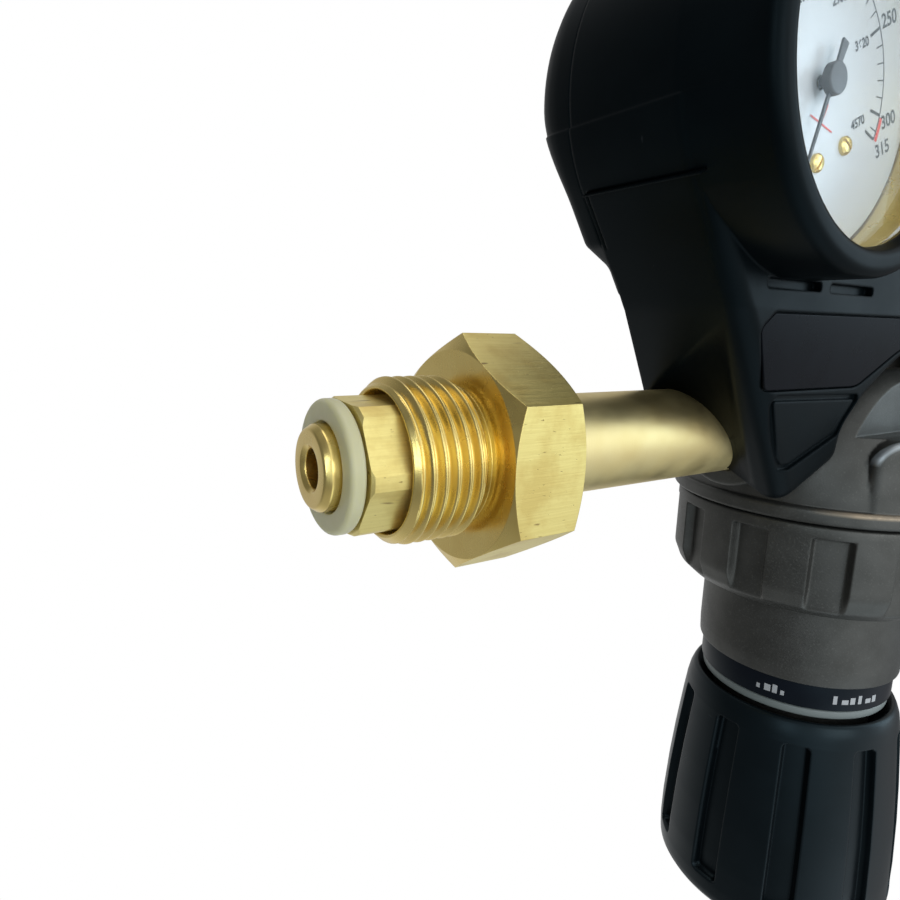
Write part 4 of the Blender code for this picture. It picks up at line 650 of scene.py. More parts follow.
bodyShape = {
    "domeR": 0.0293, "domeStart": 0.01492, "domeEnd": 61.9, "low": 0.0855, "skirtR": 0.0265,
    "flangeR": 0.0305, "flangeLow": 0.096, "flangeRound": 0.0008, "front": 0.0165,
    "shoulderHalf": 0.0212, "shoulderTop": -0.0004, "wallR": 0.0296, "edge": 0.0015, "corner": 0.005, "sink": 0.003,
    "crossR": 0.0115, "crossHalf": 0.036, "crossRound": 0.0008,
    "portR": 0.0084, "portFrom": 0.0398, "portEnd": 0.0603, "portRound": 0.0006,
    "bossR": 0.008, "bossLow": 0.098, "bossTop": 0.121, "bossRound": 0.0008, "tubeBoreR": 0.00838, "plugBoreR": 0.008,
    "pocketFrom": 0.0096, "pocketTop": 0.0072, "pocketTight": 0.0010,
    "lean": math.radians(27), "rise": 0.0537, "spread": 0.0522,
}
reliefPlace = Matrix.Translation((0, 0.02, 0))


def gaugePlace(side):
    return (Matrix.Translation((side * bodyShape["spread"], 0, inletZ + bodyShape["rise"]))
            @ Matrix.Rotation(math.radians(90), 4, "X") @ Matrix.Rotation(-side * bodyShape["lean"], 4, "Z"))


def stemPlace(side):
    return gaugePlace(side) @ Matrix.Translation((0, 0, 0.0035)) @ Matrix.Rotation(math.radians(90), 4, "X")


def makeBody(v):
    wall, edge, flange, soft = v["wallR"], v["edge"], v["flangeR"], v["flangeRound"]

    def shoulderRow(z):
        # the dome, and in front of it the shoulder's wall inside a rounded outline
        def at(angle):
            r = math.sqrt(max(v["domeR"] ** 2 - (z - flangeTop) ** 2, 1e-8))
            x, y = wall * math.cos(angle), wall * math.sin(angle)
            if y < 0:
                across = abs(x) - v["shoulderHalf"] + v["corner"]
                up = z - inletZ - v["shoulderTop"] + v["corner"]
                inside = v["corner"] - math.hypot(max(across, 0), max(up, 0)) - min(max(across, up), 0)
                if inside > 0:
                    drop = edge - math.sqrt(max(edge ** 2 - (edge - min(inside, edge)) ** 2, 0))
                    r = max(r, wall - drop)
                else:
                    r = max(r, wall - edge - v["sink"] * ease(-inside / 0.0005))
            return r, z
        return at

    rows = [plainRow(0.0005, v["low"]), plainRow(v["skirtR"], v["low"]), plainRow(v["skirtR"], v["flangeLow"]),
            plainRow(flange - soft / 2, v["flangeLow"]), plainRow(flange, v["flangeLow"] + soft / 2)]
    for k in range(6):
        angle = k * math.pi / 10
        rows.append(plainRow(flange - soft * (1 - math.cos(angle)), flangeTop - soft * (1 - math.sin(angle))))
    rows += [shoulderRow(flangeTop + 0.0001 + 0.00025 * k) for k in range(58)]
    domeFrom = math.degrees(math.asin(v["domeStart"] / v["domeR"]))
    rows += [plainRow(r, z) for r, z in arcPoints((0, flangeTop), v["domeR"], domeFrom, v["domeEnd"], 17)]
    rows.append(plainRow(0.0005, rows[-1](0)[1]))
    body = wrapped("bodyShape", rows, castingPaintedHighlights, None, 480, 40)

    flat = [(-0.04, -0.0004), (0.04, -0.0004), (0.04, 0.03), (-0.04, 0.03)]
    carve(body, [prism("flat", flat, v["front"], 0.04, casting, facing)])
    half, cross = v["crossHalf"], v["crossR"]
    added = [hoop("cross", 0, cross, -half, half, (v["crossRound"], v["crossRound"]), casting, toOutlet, 96),
             hoop("boss", 0, v["bossR"], v["bossLow"], v["bossTop"], (0, v["bossRound"]), casting, reliefPlace, 64)]
    for side in (-1, 1):
        added.append(hoop("port", 0, v["portR"], v["portFrom"], v["portEnd"], (v["portRound"], 0),
                          casting, stemPlace(side), 64))
    carve(body, added, "UNION")

    cuts = [plug("plugBore", v["plugBoreR"], 0.118, 0.14, casting)]
    cuts += [plug("tubeBore", v["tubeBoreR"], 0.028, 0.05, casting, place, 64) for place in (toInlet, toOutlet)]
    pocket = prism("pocket", inset(coverOutline(cover), v["pocketTight"]), v["pocketFrom"], 0.04, casting, facing)
    feet = [(-0.06, -0.02), (0.06, -0.02), (0.06, v["pocketTop"]), (-0.06, v["pocketTop"])]
    carve(pocket, [prism("feet", feet, 0.0, 0.05, casting, facing)], "INTERSECT")
    carve(body, cuts + [pocket])
    put(body, "regulator", "dark_casting", "body")


ringNut = {
    "low": 0.0758, "top": 0.0955, "r": 0.0293, "lugs": 12, "turn": 148.5, "width": 15.0, "floor": 0.0274, "rim": 0.0024,
    "lowR": 0.0252, "chamferR": 0.02787, "chamfer": 0.0057, "slope": 1.3, "boreR": 0.0269, "mouthR": 0.0218, "lip": 0.0049,
}


def makeRingNut(v):
    low, top, under = v["low"], v["top"], v["top"] - v["rim"]

    def baseR(z):
        up = (z - low) / v["chamfer"]
        points = ((0, v["lowR"]), (0.4, v["chamferR"]), (1.0, v["r"]), (9, v["r"]))
        for (a, ra), (b, rb) in zip(points, points[1:]):
            if up <= b:
                return ra + (rb - ra) * (up - a) / (b - a)
        return v["r"]

    def row(z, shrink=0.0):
        # the gaps between the lugs go down to the floor, below the rim
        def at(angle):
            spot = (math.degrees(angle) - v["turn"]) % (360 / v["lugs"])
            mask = ease(spot / v["slope"]) * ease((v["width"] - spot) / v["slope"]) * ease((under - z) / 0.0007)
            base = baseR(z) - shrink
            return base - mask * max(0, base - v["floor"]), z
        return at

    heights = [low + 0.0003 + 0.0055 * i / 12 for i in range(12)]
    heights += [low + 0.0062 + (under - 0.0012 - low - 0.0062) * i / 10 for i in range(11)]
    heights += [under - 0.0009 + 0.0012 * i / 8 for i in range(9)]
    rows = [row(low, 0.0004)] + [row(z) for z in heights]
    rows += [row(top - 0.0006), row(top - 0.0003, 0.0001), row(top, 0.0006)]
    rows += [plainRow(v["boreR"], top), plainRow(v["boreR"], low + v["lip"]), plainRow(v["mouthR"], low + v["lip"]),
             plainRow(v["mouthR"], low)]
    put(wrapped("ringNutShape", rows, casting, None, 720, 45), "regulator", "dark_casting", "ring_nut")


bonnetShape = {
    "plateR": 0.0258, "plateLow": 0.081, "top": 0.0836, "mouthR": 0.0155, "r": 0.0214, "bend": 0.0620,
    "skirtR": 0.0212, "skirtLow": 0.0587, "skirtInside": 0.0207, "neckR": 0.017, "neckTop": 0.0597, "low": 0.0431,
    "spindleR": 0.0054, "floor": 0.0469, "roomR": 0.0146, "roomTop": 0.0806,
}


def makeBonnet(v):
    bonnet = lathe("bonnetShape", [
        (v["mouthR"], v["top"]), (v["plateR"], v["top"]), (v["plateR"], v["plateLow"]), (v["r"], v["plateLow"]),
        (v["r"], v["bend"], 0.003), (v["skirtR"], v["skirtLow"], 0.0010), (v["skirtInside"], v["skirtLow"]),
        (v["skirtInside"], v["neckTop"]), (v["neckR"], v["neckTop"]), (v["neckR"], v["low"]), (v["spindleR"], v["low"]),
        (v["spindleR"], v["floor"]), (v["roomR"], v["floor"]), (v["roomR"], v["roomTop"])], casting, None, 160)
    put(bonnet, "regulator", "dark_casting", "bonnet")


makeRingNut(ringNut)
makeBonnet(bonnetShape)
print("body, ring nut and bonnet made")

# ---- band with plain marks, pale ring, knob

sleeveR = 0.0173  # inside of the band and of the pale ring

bandShape = {
    "r": 0.0203, "low": 0.053, "top": 0.0594, "rounds": (0.0003, 0.0004), "markR": 0.02034, "markLow": 0.0547,
    "markHeight": 0.0019,
    # plain bars: middle of the group, how many, and degrees from one to the next
    "groups": ((-161.0, 4, 4.6), (-112.0, 6, 5.2), (-50.0, 4, 4.6), (30.0, 6, 5.2)),
    "widths": (0.45, 0.78, 0.6), "heights": (1, 0.55, 0.8),
}


def makeBand(v):
    band = hoop("markingBandShape", sleeveR, v["r"], v["low"], v["top"], v["rounds"], bandBlack, None, 160)
    verts, faces = [], []
    for middle, count, step in v["groups"]:
        for k in range(count):
            start = math.radians(middle + (k - count / 2) * step)
            end = start + math.radians(step * v["widths"][k % 3])
            high = v["markHeight"] * v["heights"][(k + count) % 3]
            for i in range(3):
                for z in (v["markLow"], v["markLow"] + high):
                    angle = start + (end - start) * i / 2
                    verts.append((v["markR"] * math.cos(angle), v["markR"] * math.sin(angle), z))
            n = len(verts) - 6
            faces += [(n, n + 2, n + 3, n + 1), (n + 2, n + 4, n + 5, n + 3)]
    marks = addMesh("bandMarks", verts, faces, printWhite)
    put(marks, "regulator", "black_plastic")
    put(band, "regulator", "black_plastic", "marking_band")


lightRing = {"r": 0.0198, "low": 0.0508, "top": 0.0527, "rounds": (0.0004, 0.0005)}


def makeLightRing(v):
    ring = hoop("lightRingShape", sleeveR, v["r"], v["low"], v["top"], v["rounds"], paleRing, None, 160)
    put(ring, "regulator", "pale_plastic", "light_ring")


knobShape = {
    "grips": 10, "turn": -144.8, "width": 13.5, "depth": 0.0019, "top": 0.0454, "end": 0.006, "corner": 0.0011,
    "slope": 0.0006, "mouth": ((0.0208, 0.0503), (0.0206, 0.05)), "collarR": 0.0182, "collarTop": 0.0474,
    "collarEnd": 0.012, "hubR": 0.0143, "hubEnd": 0.0105,
    # height above the knob's end and radius there
    "profile": ((0.0, 0.0239), (0.0006, 0.0251), (0.0018, 0.0259), (0.005, 0.02608), (0.011, 0.0260), (0.022, 0.0254),
                (0.031, 0.02465), (0.041, 0.0236), (0.0455, 0.02305), (0.0478, 0.0226), (0.0492, 0.0221), (0.0500, 0.0217),
                (0.0504, 0.0212)),
}


def makeKnob(v):
    points, corner = v["profile"], v["corner"]

    def baseR(z):
        for (a, ra), (b, rb) in zip(points, points[1:]):
            if z <= b:
                return ra + (rb - ra) * (z - a) / (b - a)
        return points[-1][1]

    def row(z):
        # each grip is a pocket with round corners and sloping walls
        def at(angle):
            r = baseR(z)
            spot = (math.degrees(angle) - v["turn"] + 180 / v["grips"]) % (360 / v["grips"]) - 180 / v["grips"]
            across = abs(math.radians(spot)) * r - (math.radians(v["width"] / 2) * r - corner)
            along = abs(z - (v["top"] + v["end"]) / 2) - ((v["top"] - v["end"]) / 2 - corner)
            away = math.hypot(max(across, 0), max(along, 0)) + min(max(across, along), 0) - corner
            return r - v["depth"] * ease(-away / v["slope"] + 0.15), z
        return at

    # close together where the pockets and the edges are, wider apart between
    heights = [0, 0.0003, 0.0006, 0.0012, 0.0018, 0.0032, 0.0048]
    heights += [0.0054 + 0.0002 * i for i in range(12)] + [0.008 + 0.0355 * i / 44 for i in range(45)]
    heights += [0.0437 + 0.0002 * i for i in range(13)] + [0.0467, 0.0478, 0.0485, 0.0492, 0.0496, 0.05, 0.0502, 0.0504]
    rows = [row(z) for z in heights]
    inside = v["mouth"] + ((v["collarR"], v["collarTop"]), (v["collarR"], v["collarEnd"]),
                           (v["hubR"], v["hubEnd"]), (v["hubR"], 0.0))
    rows += [plainRow(r, z) for r, z in inside]
    put(wrapped("knobShape", rows, knobBlack, None, 720, 55), "adjusting_knob", "black_plastic", "knob")


makeBand(bandShape)
makeLightRing(lightRing)
makeKnob(knobShape)
print("band, ring and knob made")

# ---- cover

cover = {
    "front": 0.020, "back": -0.0019, "low": -0.0135, "barrelR": 0.028, "rounding": 0.0031, "wall": 0.0025,
    "rimR": 0.0275, "rimFront": 0.0311, "rimRound": 0.0036, "windowR": 0.0229, "gaugeR": 0.0253, "tubeR": 0.0084,
    "lean": math.radians(10.2), "bend": 0.022, "lip": 0.0004, "lipAngle": 192.5, "seamAngle": 212.4, "seam": 0.00024,
    "gaugeFrom": 0.016, "gaugeEnd": 0.0283, "windowFrom": 0.0286, "recess": 0.0009, "panelSink": 0.00035,
    "slotDepth": 0.0014, "slotLow": 0.0250, "slotTop": 0.0265, "slotRound": 0.0006,
    "slots": ((0.0592, 0.0447), (0.0422, 0.0286)),
}
# half outlines seen from the front: across, up from the inlet's axis, and rounding
coverSaddle = [(0, 0.0655), (-0.004, 0.06562), (-0.008, 0.0660), (-0.012, 0.0666), (-0.016, 0.0676), (-0.020, 0.0689),
               (-0.024, 0.0705), (-0.028, 0.0724), (-0.032, 0.0745), (-0.0355, 0.0765)]
coverLeg = [(-0.0756, 0.0386), (-0.065, 0.022, 0.03), (-0.0364, -0.0125, 0.0034), (-0.0222, -0.0048, 0.0034),
            (-0.0232, 0.0013, 0.004), (-0.0212, 0.0052)]
coverArch = [(-0.0198, 0.0068), (-0.0163, 0.0099), (-0.0138, 0.0118), (-0.0110, 0.0136), (-0.0083, 0.0150),
             (-0.0055, 0.0160), (-0.0028, 0.0166), (0, 0.0168)]
labelCorners = [(0, 0.0218), (-0.0560, 0.0214, 0.0008), (-0.0585, 0.0190, 0.0012), (-0.0530, 0.0095, 0.0016),
                (-0.0250, 0.0095, 0.006), (-0.0150, 0.0152, 0.01), (-0.0070, 0.0188, 0.02), (0, 0.0200, 0.02)]
panelCorners = [(-0.0505, 0.0082, 0.001), (-0.0436, -0.0030, 0.001), (-0.0415, -0.0048, 0.0012), (-0.0390, -0.0048, 0.0012),
                (-0.0262, 0.0006, 0.0012), (-0.0252, 0.0030, 0.0015), (-0.0225, 0.0076, 0.001)]
# the cover's back edge seen from the side: forward, up
coverBackEdge = [(-0.0078, 0.0040), (-0.0065, 0.0078), (-0.0033, 0.0175), (-0.0020, 0.0215), (-0.0016, 0.0262)]
roomCorners = [(0, 0.024), (-0.008, 0.023), (-0.018, 0.0175), (-0.0275, 0.0085), (-0.0335, -0.002), (-0.0335, -0.03),
               (0, -0.03)]


def barrelArc(v):
    middle, lip = (-bodyShape["spread"], bodyShape["rise"]), v["lipAngle"]
    return (arcPoints(middle, v["barrelR"], 62, lip - 1, 54) + arcPoints(middle, v["barrelR"], lip - 0.5, lip + 0.5, 3)
            + arcPoints(middle, v["barrelR"], lip + 1.2, 211, 10))


def lipped(v, outline):
    # above the lip the barrel's surface lies a little deeper
    found = []
    for x, y in outline:
        away = Vector((bodyShape["spread"] - abs(x), y - bodyShape["rise"]))
        angle = math.degrees(math.atan2(away.y, away.x)) % 360
        share = ease((v["lipAngle"] + 0.4 - angle) / 0.8) * ease((angle - 62) / 15)
        by = away.normalized() * v["lip"] * share
        found.append((x - by.x * (-1 if x > 0 else 1), y - by.y))
    return found


def coverOutline(v):
    return withMirror(coverSaddle + barrelArc(v) + soften(coverLeg, 6)[1:-1] + coverArch)


def sideways(outline, name):
    # a bar right across the object from an outline seen from the side
    place = (Matrix.Translation((0, 0, inletZ)) @ Matrix.Rotation(math.radians(-90), 4, "Y")
             @ Matrix.Rotation(math.radians(180), 4, "Z"))
    return prism(name, [(-height, forward) for forward, height in outline], -0.1, 0.1, coverBlack, place)


def leanPlace(v):
    return facing @ Matrix.Translation((0, v["bend"], v["front"])) @ Matrix.Rotation(v["lean"], 4, "X")


def downFace(v, points):
    return [(p[0], (p[1] - v["bend"]) / math.cos(v["lean"]), *p[2:]) for p in points]


def coverSeams(v, outline):
    # thin grooves: one across the barrel, one down the back edge of the leg
    seams, barrel = [], v["barrelR"]
    angle = math.radians(v["seamAngle"])
    outward = Vector((math.cos(angle), math.sin(angle)))
    along = Vector((-outward.y, outward.x)) * v["seam"] / 2
    middle = Vector((-bodyShape["spread"], bodyShape["rise"]))
    near, far = middle + outward * (barrel - 0.0005), middle + outward * (barrel + 0.001)
    for side in (-1, 1):
        across = [(-side * spot.x, spot.y) for spot in (near - along, far - along, far + along, near + along)]
        seams.append(prism("seam", across, -0.0011, v["front"], coverBlack, facing))
        ring = prism("seam", inset(outline, -0.0003), -0.0010 - v["seam"], -0.0010, coverBlack, facing)
        carve(ring, [prism("core", inset(outline, 0.0005), -0.01, 0.01, coverBlack, facing)])
        part = [(side * 0.066, 0.031), (side * 0.09, 0.031), (side * 0.09, 0.0388), (side * 0.066, 0.0388)]
        carve(ring, [prism("part", part, -0.01, 0.01, coverBlack, facing)], "INTERSECT")
        seams.append(ring)
    return seams


def roundedFront(v, outline):
    # the outline drawn forward with a round front edge, then leaned back below the bend
    layers = [(lipped(v, outline), -0.012)]
    for k in range(9):
        angle = math.pi / 2 * k / 8
        edge = inset(outline, v["rounding"] * (1 - math.cos(angle)))
        layers.append((lipped(v, edge), v["front"] - v["rounding"] * (1 - math.sin(angle))))

    def leanBack(spot):
        if spot.z > 0 and spot.y < v["bend"]:
            spot.z -= (v["bend"] - spot.y) * math.tan(v["lean"])

    return bent(layered("frontCoverShape", layers, coverBlack, facing), [((0, v["bend"], 0), (0, 1, 0))], leanBack)


def coverDetails(v, outline):
    # recess of the label, foot panels with a groove round them, slots under the rims, seams
    place = leanPlace(v)
    label = inset(soften(downFace(v, withMirror(labelCorners)), 6), -0.0003)
    details = [prism("labelRecess", label, -v["recess"], 0.01, coverBlack, place)]
    for side in (-1, 1):
        panel = [(-side * x, z) for x, z in soften(downFace(v, panelCorners), 6)]
        ring = prism("panelGroove", inset(panel, -0.0004), -v["recess"], 0.01, coverBlack, place)
        carve(ring, [prism("panelCore", inset(panel, 0.0007), -0.02, 0.02, coverBlack, place)])
        details += [ring, prism("panelFloor", inset(panel, 0.0002), -v["panelSink"], 0.01, coverBlack, place)]
        for a, b in v["slots"]:
            low, top, soft = v["slotLow"], v["slotTop"], v["slotRound"]
            slot = soften([(side * a, low, soft), (side * b, low, soft), (side * b, top, soft), (side * a, top, soft)], 4)
            details.append(prism("slot", slot, v["front"] - v["slotDepth"], v["front"] + 0.01, coverBlack, facing))
    return details + coverSeams(v, outline)


def makeFrontCover(v):
    outline, front, low, wall = coverOutline(v), v["front"], v["low"], v["wall"]
    shell = roundedFront(v, outline)
    frontLow = front - (v["bend"] - low) * math.tan(v["lean"])
    side = [(front + 0.001, 0.09), (front + 0.001, low), (frontLow - 0.0004, low)] + coverBackEdge
    carve(shell, [sideways(side + [(v["back"], 0.0300), (v["back"], 0.09)], "side")], "INTERSECT")
    rimFront, windowR, gaugeR = v["rimFront"], v["windowR"], v["gaugeR"]
    rims = []
    for which in (-1, 1):
        rims.append(lathe("rim", [
            (0, front - 0.004), (v["rimR"], front - 0.004), (v["rimR"], rimFront - 0.0004, v["rimRound"]),
            (windowR + 0.0010, rimFront, 0.0012), (windowR, rimFront - 0.003), (0, rimFront - 0.003)],
            coverBlack, gaugePlace(which), 160, 9))
    carve(shell, rims, "UNION")
    cavity = prism("cavity", inset(outline, wall), -0.030, front, coverBlack, facing)
    inner = [(front - wall, 0.09), (front - wall, v["bend"]), (frontLow - wall - 0.001, low - 0.006),
             (-0.02, low - 0.006), (-0.02, 0.09)]
    carve(cavity, [sideways(inner, "inner")], "INTERSECT")
    cuts = [cavity]
    for which in (-1, 1):
        cuts.append(lathe("gaugeBore", [
            (0, v["gaugeFrom"]), (gaugeR, v["gaugeFrom"]), (gaugeR, v["gaugeEnd"]), (windowR, v["windowFrom"]),
            (windowR, 0.04), (0, 0.04)],
            coverBlack, gaugePlace(which), 128))
    cuts.append(prism("room", withMirror(roomCorners), -0.03, front - 0.0086, coverBlack, facing))
    cuts.append(sideways(arcPoints((0, 0), v["tubeR"], 0, 355, 71), "tube"))
    carve(shell, cuts)
    carve(shell, coverDetails(v, outline))
    put(shell, "regulator", "black_plastic", "front_cover")


rearCover = {
    "back": -0.0072, "front": -0.00192, "rounding": 0.0032, "wall": 0.0022, "backWall": 0.0016,
    # the back swells over the two gauges: across, up and forward, where it starts and how much further it is full
    "bulge": 0.003, "bulgeFrom": (0.024, 0.0375, -0.0030), "bulgeOver": (0.014, 0.0145, 0.0042),
    "screws": ((0.014, 0.058), (0.019, 0.030)), "head": -0.0051, "headR": 0.0028, "headHigh": 0.0012,
    "shankR": 0.0014, "shankEnd": 0.0055, "key": 0.0025, "keyDeep": 0.0008, "wellR": 0.0032, "wellFloor": -0.0038,
    "holeR": 0.0017,
    "corners": ((-0.0756, 0.0386), (-0.0712, 0.0314, 0.003), (-0.0655, 0.0283, 0.004), (-0.0622, 0.0232, 0.003),
                (0, 0.0232)),
}


def makeRearCover(v):
    bottom = soften(v["corners"], 5)[1:-1] + [(0, 0.0232)]
    outline = withMirror(coverSaddle + barrelArc(cover) + bottom)
    layers = []
    for k in range(6):
        angle = math.pi / 2 * k / 5
        edge = inset(outline, v["rounding"] * (1 - math.sin(angle)))
        layers.append((lipped(cover, edge), v["back"] + v["rounding"] * (1 - math.cos(angle))))
    layers.append((lipped(cover, outline), v["front"]))
    (across, up, behind), (acrossOver, upOver, behindOver) = v["bulgeFrom"], v["bulgeOver"]
    planes = [((0, up + upOver * i / 10, 0), (0, 1, 0)) for i in range(11)]
    planes += [((side * (across + acrossOver * i / 7), 0, 0), (1, 0, 0)) for side in (-1, 1) for i in range(8)]

    def swell(spot):
        deep = min(max((behind - spot.z) / behindOver, 0), 1)
        share = ease((spot.y - up) / upOver) * ease((abs(spot.x) - across) / acrossOver)
        spot.z -= v["bulge"] * deep * share

    shell = bent(layered("rearCoverShape", layers, coverBlack, facing), planes, swell)
    carve(shell, [prism("hollow", inset(outline, v["wall"]), v["back"] + v["backWall"], 0.01, coverBlack, facing)])
    wells, r, hole, floor = [], v["wellR"], v["holeR"], v["wellFloor"]
    for side in (-1, 1):
        for x, z in v["screws"]:
            wells.append(lathe("well", [(0, -0.02), (r, -0.02), (r, floor), (hole, floor), (hole, 0.01), (0, 0.01)],
                               coverBlack, facing @ Matrix.Translation((side * x, z, 0)), 48))
    carve(shell, wells)
    put(shell, "regulator", "black_plastic", "rear_cover")


def makeLabel():
    outline = soften(downFace(cover, withMirror(labelCorners)), 6)
    label = layered("labelPlateShape", [(outline, -0.0005), (outline, -0.00018), (inset(outline, 0.00008), -0.0001)],
                    labelBlack, leanPlace(cover))
    put(label, "regulator", "label", "label_plate")


def makeCoverScrews(v):
    low, top, r, shank, end = v["head"], v["head"] + v["headHigh"], v["headR"], v["shankR"], v["shankEnd"]
    spots = [(side * x, z, 0) for side in (-1, 1) for x, z in v["screws"]]
    for number, spot in enumerate(spots, 1):
        place = facing @ Matrix.Translation(spot)
        head = lathe(f"coverScrewShape{number}", [
            (0, low), (r, low, 0.0004), (r, top), (shank, top), (shank, end), (0, end)], steel, place, 48)
        carve(head, [prism("key", hexOutline(v["key"]), low - 0.001, low + v["keyDeep"], steel, place)])
        put(head, "regulator", "steel", f"cover_screw_{number}")


makeBody(bodyShape)
makeFrontCover(cover)
makeRearCover(rearCover)
makeLabel()
makeCoverScrews(rearCover)
print("cover made")

# ---- gauges

gauges = {
    "left": {"side": -1, "end": 315, "major": 50, "minor": 10, "labels": (0, 50, 100, 150, 200, 250, 300, 315)},
    "right": {"side": 1, "end": 16, "major": 2, "minor": 0.5, "labels": (0, 2, 4, 6, 8, 10, 12, 14, 16)},
}
gaugeShape = {
    "caseR": 0.025, "caseBack": -0.0035, "caseFront": 0.028, "caseWall": 0.001,
    "dialR": 0.0237, "dialHoleR": 0.001, "dial": 0.02, "dialThick": 0.0008, "crystal": (0.026, 0.0276),
    "screwAt": (0.0037, -0.0099), "screwR": 0.00135, "needleAt": 0.0215, "needleThick": 0.0003,
    "shaftR": 0.0007, "shaftLow": 0.0201, "hubR": 0.0022, "hubLow": 0.0213, "hubTop": 0.0224,
    # half the needle: along from the hub, half its width
    "needle": ((-0.0055, 0.0007), (-0.0022, 0.0005), (0.0022, 0.0003), (0.0172, 0.0001), (0.0175, 0)),
}
dialPrint = {
    "start": 225, "sweep": 270, "lift": 0.00004, "line": 0.00022, "tickOut": 0.0162, "tickIn": 0.0146, "majorIn": 0.0136,
    "numberR": 0.0189, "numberSize": 0.0027,
    # the inner numbers are the outer ones in another unit
    "innerR": 0.0112, "innerSize": 0.0018, "inner": 14.5,
    "crossAt": (-0.0012, -0.0052), "crossHalf": 0.0030, "crossLine": 0.00012,
    "redFrom": -45, "redStep": 2.4, "redR": (0.0165, 0.0172),
}


def onCircle(r, angle):
    return Vector((r * math.cos(angle), r * math.sin(angle)))


def flatBar(verts, faces, points, z):
    n = len(verts)
    verts += [(x, y, z) for x, y in points]
    faces.append(tuple(range(n, n + len(points))))


def makeText(words, size, middle, z, place):
    curve = bpy.data.curves.new("number", "FONT")
    curve.body = words
    curve.size = size
    curve.align_x = "CENTER"
    curve.align_y = "CENTER"
    curve.offset = 0.00006
    made = bpy.data.objects.new("number", curve)
    bpy.context.scene.collection.objects.link(made)
    made.matrix_world = place @ Matrix.Translation((middle[0], middle[1], z))
    bpy.context.view_layer.update()
    mesh = bpy.data.meshes.new_from_object(made.evaluated_get(bpy.context.evaluated_depsgraph_get()))
    mesh.materials.clear()
    mesh.materials.append(printBlack)
    solid = bpy.data.objects.new("number", mesh)
    bpy.context.scene.collection.objects.link(solid)
    solid.matrix_world = made.matrix_world.copy()
    bpy.data.objects.remove(made, do_unlink=True)
    return solid


def ringPart(verts, faces, inner, outer, first, last, z):
    a, b = math.radians(first), math.radians(last)
    flatBar(verts, faces, [onCircle(inner, a), onCircle(outer, a), onCircle(outer, b), onCircle(inner, b)], z)


def makeDialPrint(name, v, place):
    # black: ticks, the line that joins them, and two rows of numbers
    p, z = dialPrint, gaugeShape["dial"] + dialPrint["lift"]
    verts, faces, texts = [], [], []
    for k in range(round(v["end"] / v["minor"]) + 2):
        value = min(k * v["minor"], v["end"])
        angle = math.radians(p["start"] - p["sweep"] * value / v["end"])
        major = abs(value / v["major"] - round(value / v["major"])) < 1e-6 or value == v["end"]
        across = onCircle(p["line"] if major else 0.0001, angle + math.pi / 2)
        low, high = onCircle(p["majorIn" if major else "tickIn"], angle), onCircle(p["tickOut"], angle)
        flatBar(verts, faces, [low - across, high - across, high + across, low + across], z)
    for k in range(90):
        ringPart(verts, faces, p["tickOut"], p["tickOut"] + p["line"], p["start"] - 3 * k, p["start"] - 3 * (k + 1), z)
    ticks = addMesh(f"{name}DialPrint", verts, faces, printBlack, place)
    for value in v["labels"]:
        angle = math.radians(p["start"] - p["sweep"] * value / v["end"])
        spot = onCircle(p["numberR"] + (0.0004 if value == v["end"] else 0), angle)
        texts.append(makeText(str(value), p["numberSize"], spot, z, place))
        if value and value != 300:
            inner = str(round(value * p["inner"] / 10) * 10)
            texts.append(makeText(inner, p["innerSize"], onCircle(p["innerR"], angle), z, place))
    put(merged(ticks, texts), "regulator", "dial")

    # red: the end of the scale and a plain cross
    verts, faces = [], []
    for k in range(5):
        ringPart(verts, faces, *p["redR"], p["redFrom"] + p["redStep"] * k, p["redFrom"] + p["redStep"] * (k + 1), z)
    for turn in (40, 140):
        along, across = onCircle(p["crossHalf"], math.radians(turn)), onCircle(p["crossLine"], math.radians(turn + 90))
        near, far = Vector(p["crossAt"]) - along, Vector(p["crossAt"]) + along
        flatBar(verts, faces, [near - across, far - across, far + across, near + across], z + 0.00002)
    put(addMesh(f"{name}DialRed", verts, faces, printRed, place), "regulator", "dial")


def makeDialScrews(name, v, place):
    r, (across, up) = v["screwR"], v["screwAt"]
    for letter, x, turn in (("A", -across, 0.6), ("B", across, 2.1)):
        spot = place @ Matrix.Translation((x, up, v["dial"]))
        screw = lathe(f"{name}DialScrew{letter}", [
            (0, -0.0004), (r, -0.0004), (r, 0.0004, 0.0002), (0.0010, 0.0007, 0.0003), (0, 0.0008)], brass, spot, 40)
        slot = [(-0.002, -0.0002), (0.002, -0.0002), (0.002, 0.0002), (-0.002, 0.0002)]
        carve(screw, [prism("key", slot, 0.0004, 0.002, brass, spot @ Matrix.Rotation(turn, 4, "Z"))])
        put(screw, "regulator", "brass")


def makePointer(name, v, place):
    turned = place @ Matrix.Rotation(math.radians(dialPrint["start"]), 4, "Z")
    half, at, r, shaft, low, top = (v[key] for key in ("needle", "needleAt", "hubR", "shaftR", "hubLow", "hubTop"))
    outline = [(x, -y) for x, y in half] + [(x, y) for x, y in reversed(half[:-1])]
    pointer = prism(f"{name}GaugePointerShape", outline, at, at + v["needleThick"], printBlack, turned)
    hub = lathe("hub", [(0, v["shaftLow"]), (shaft, v["shaftLow"]), (shaft, low), (r, low), (r, top, 0.0003), (0, top)],
                printBlack, turned, 48)
    put(merged(pointer, [hub]), f"{name}_pointer", "black_plastic", f"{name}_gauge_pointer")


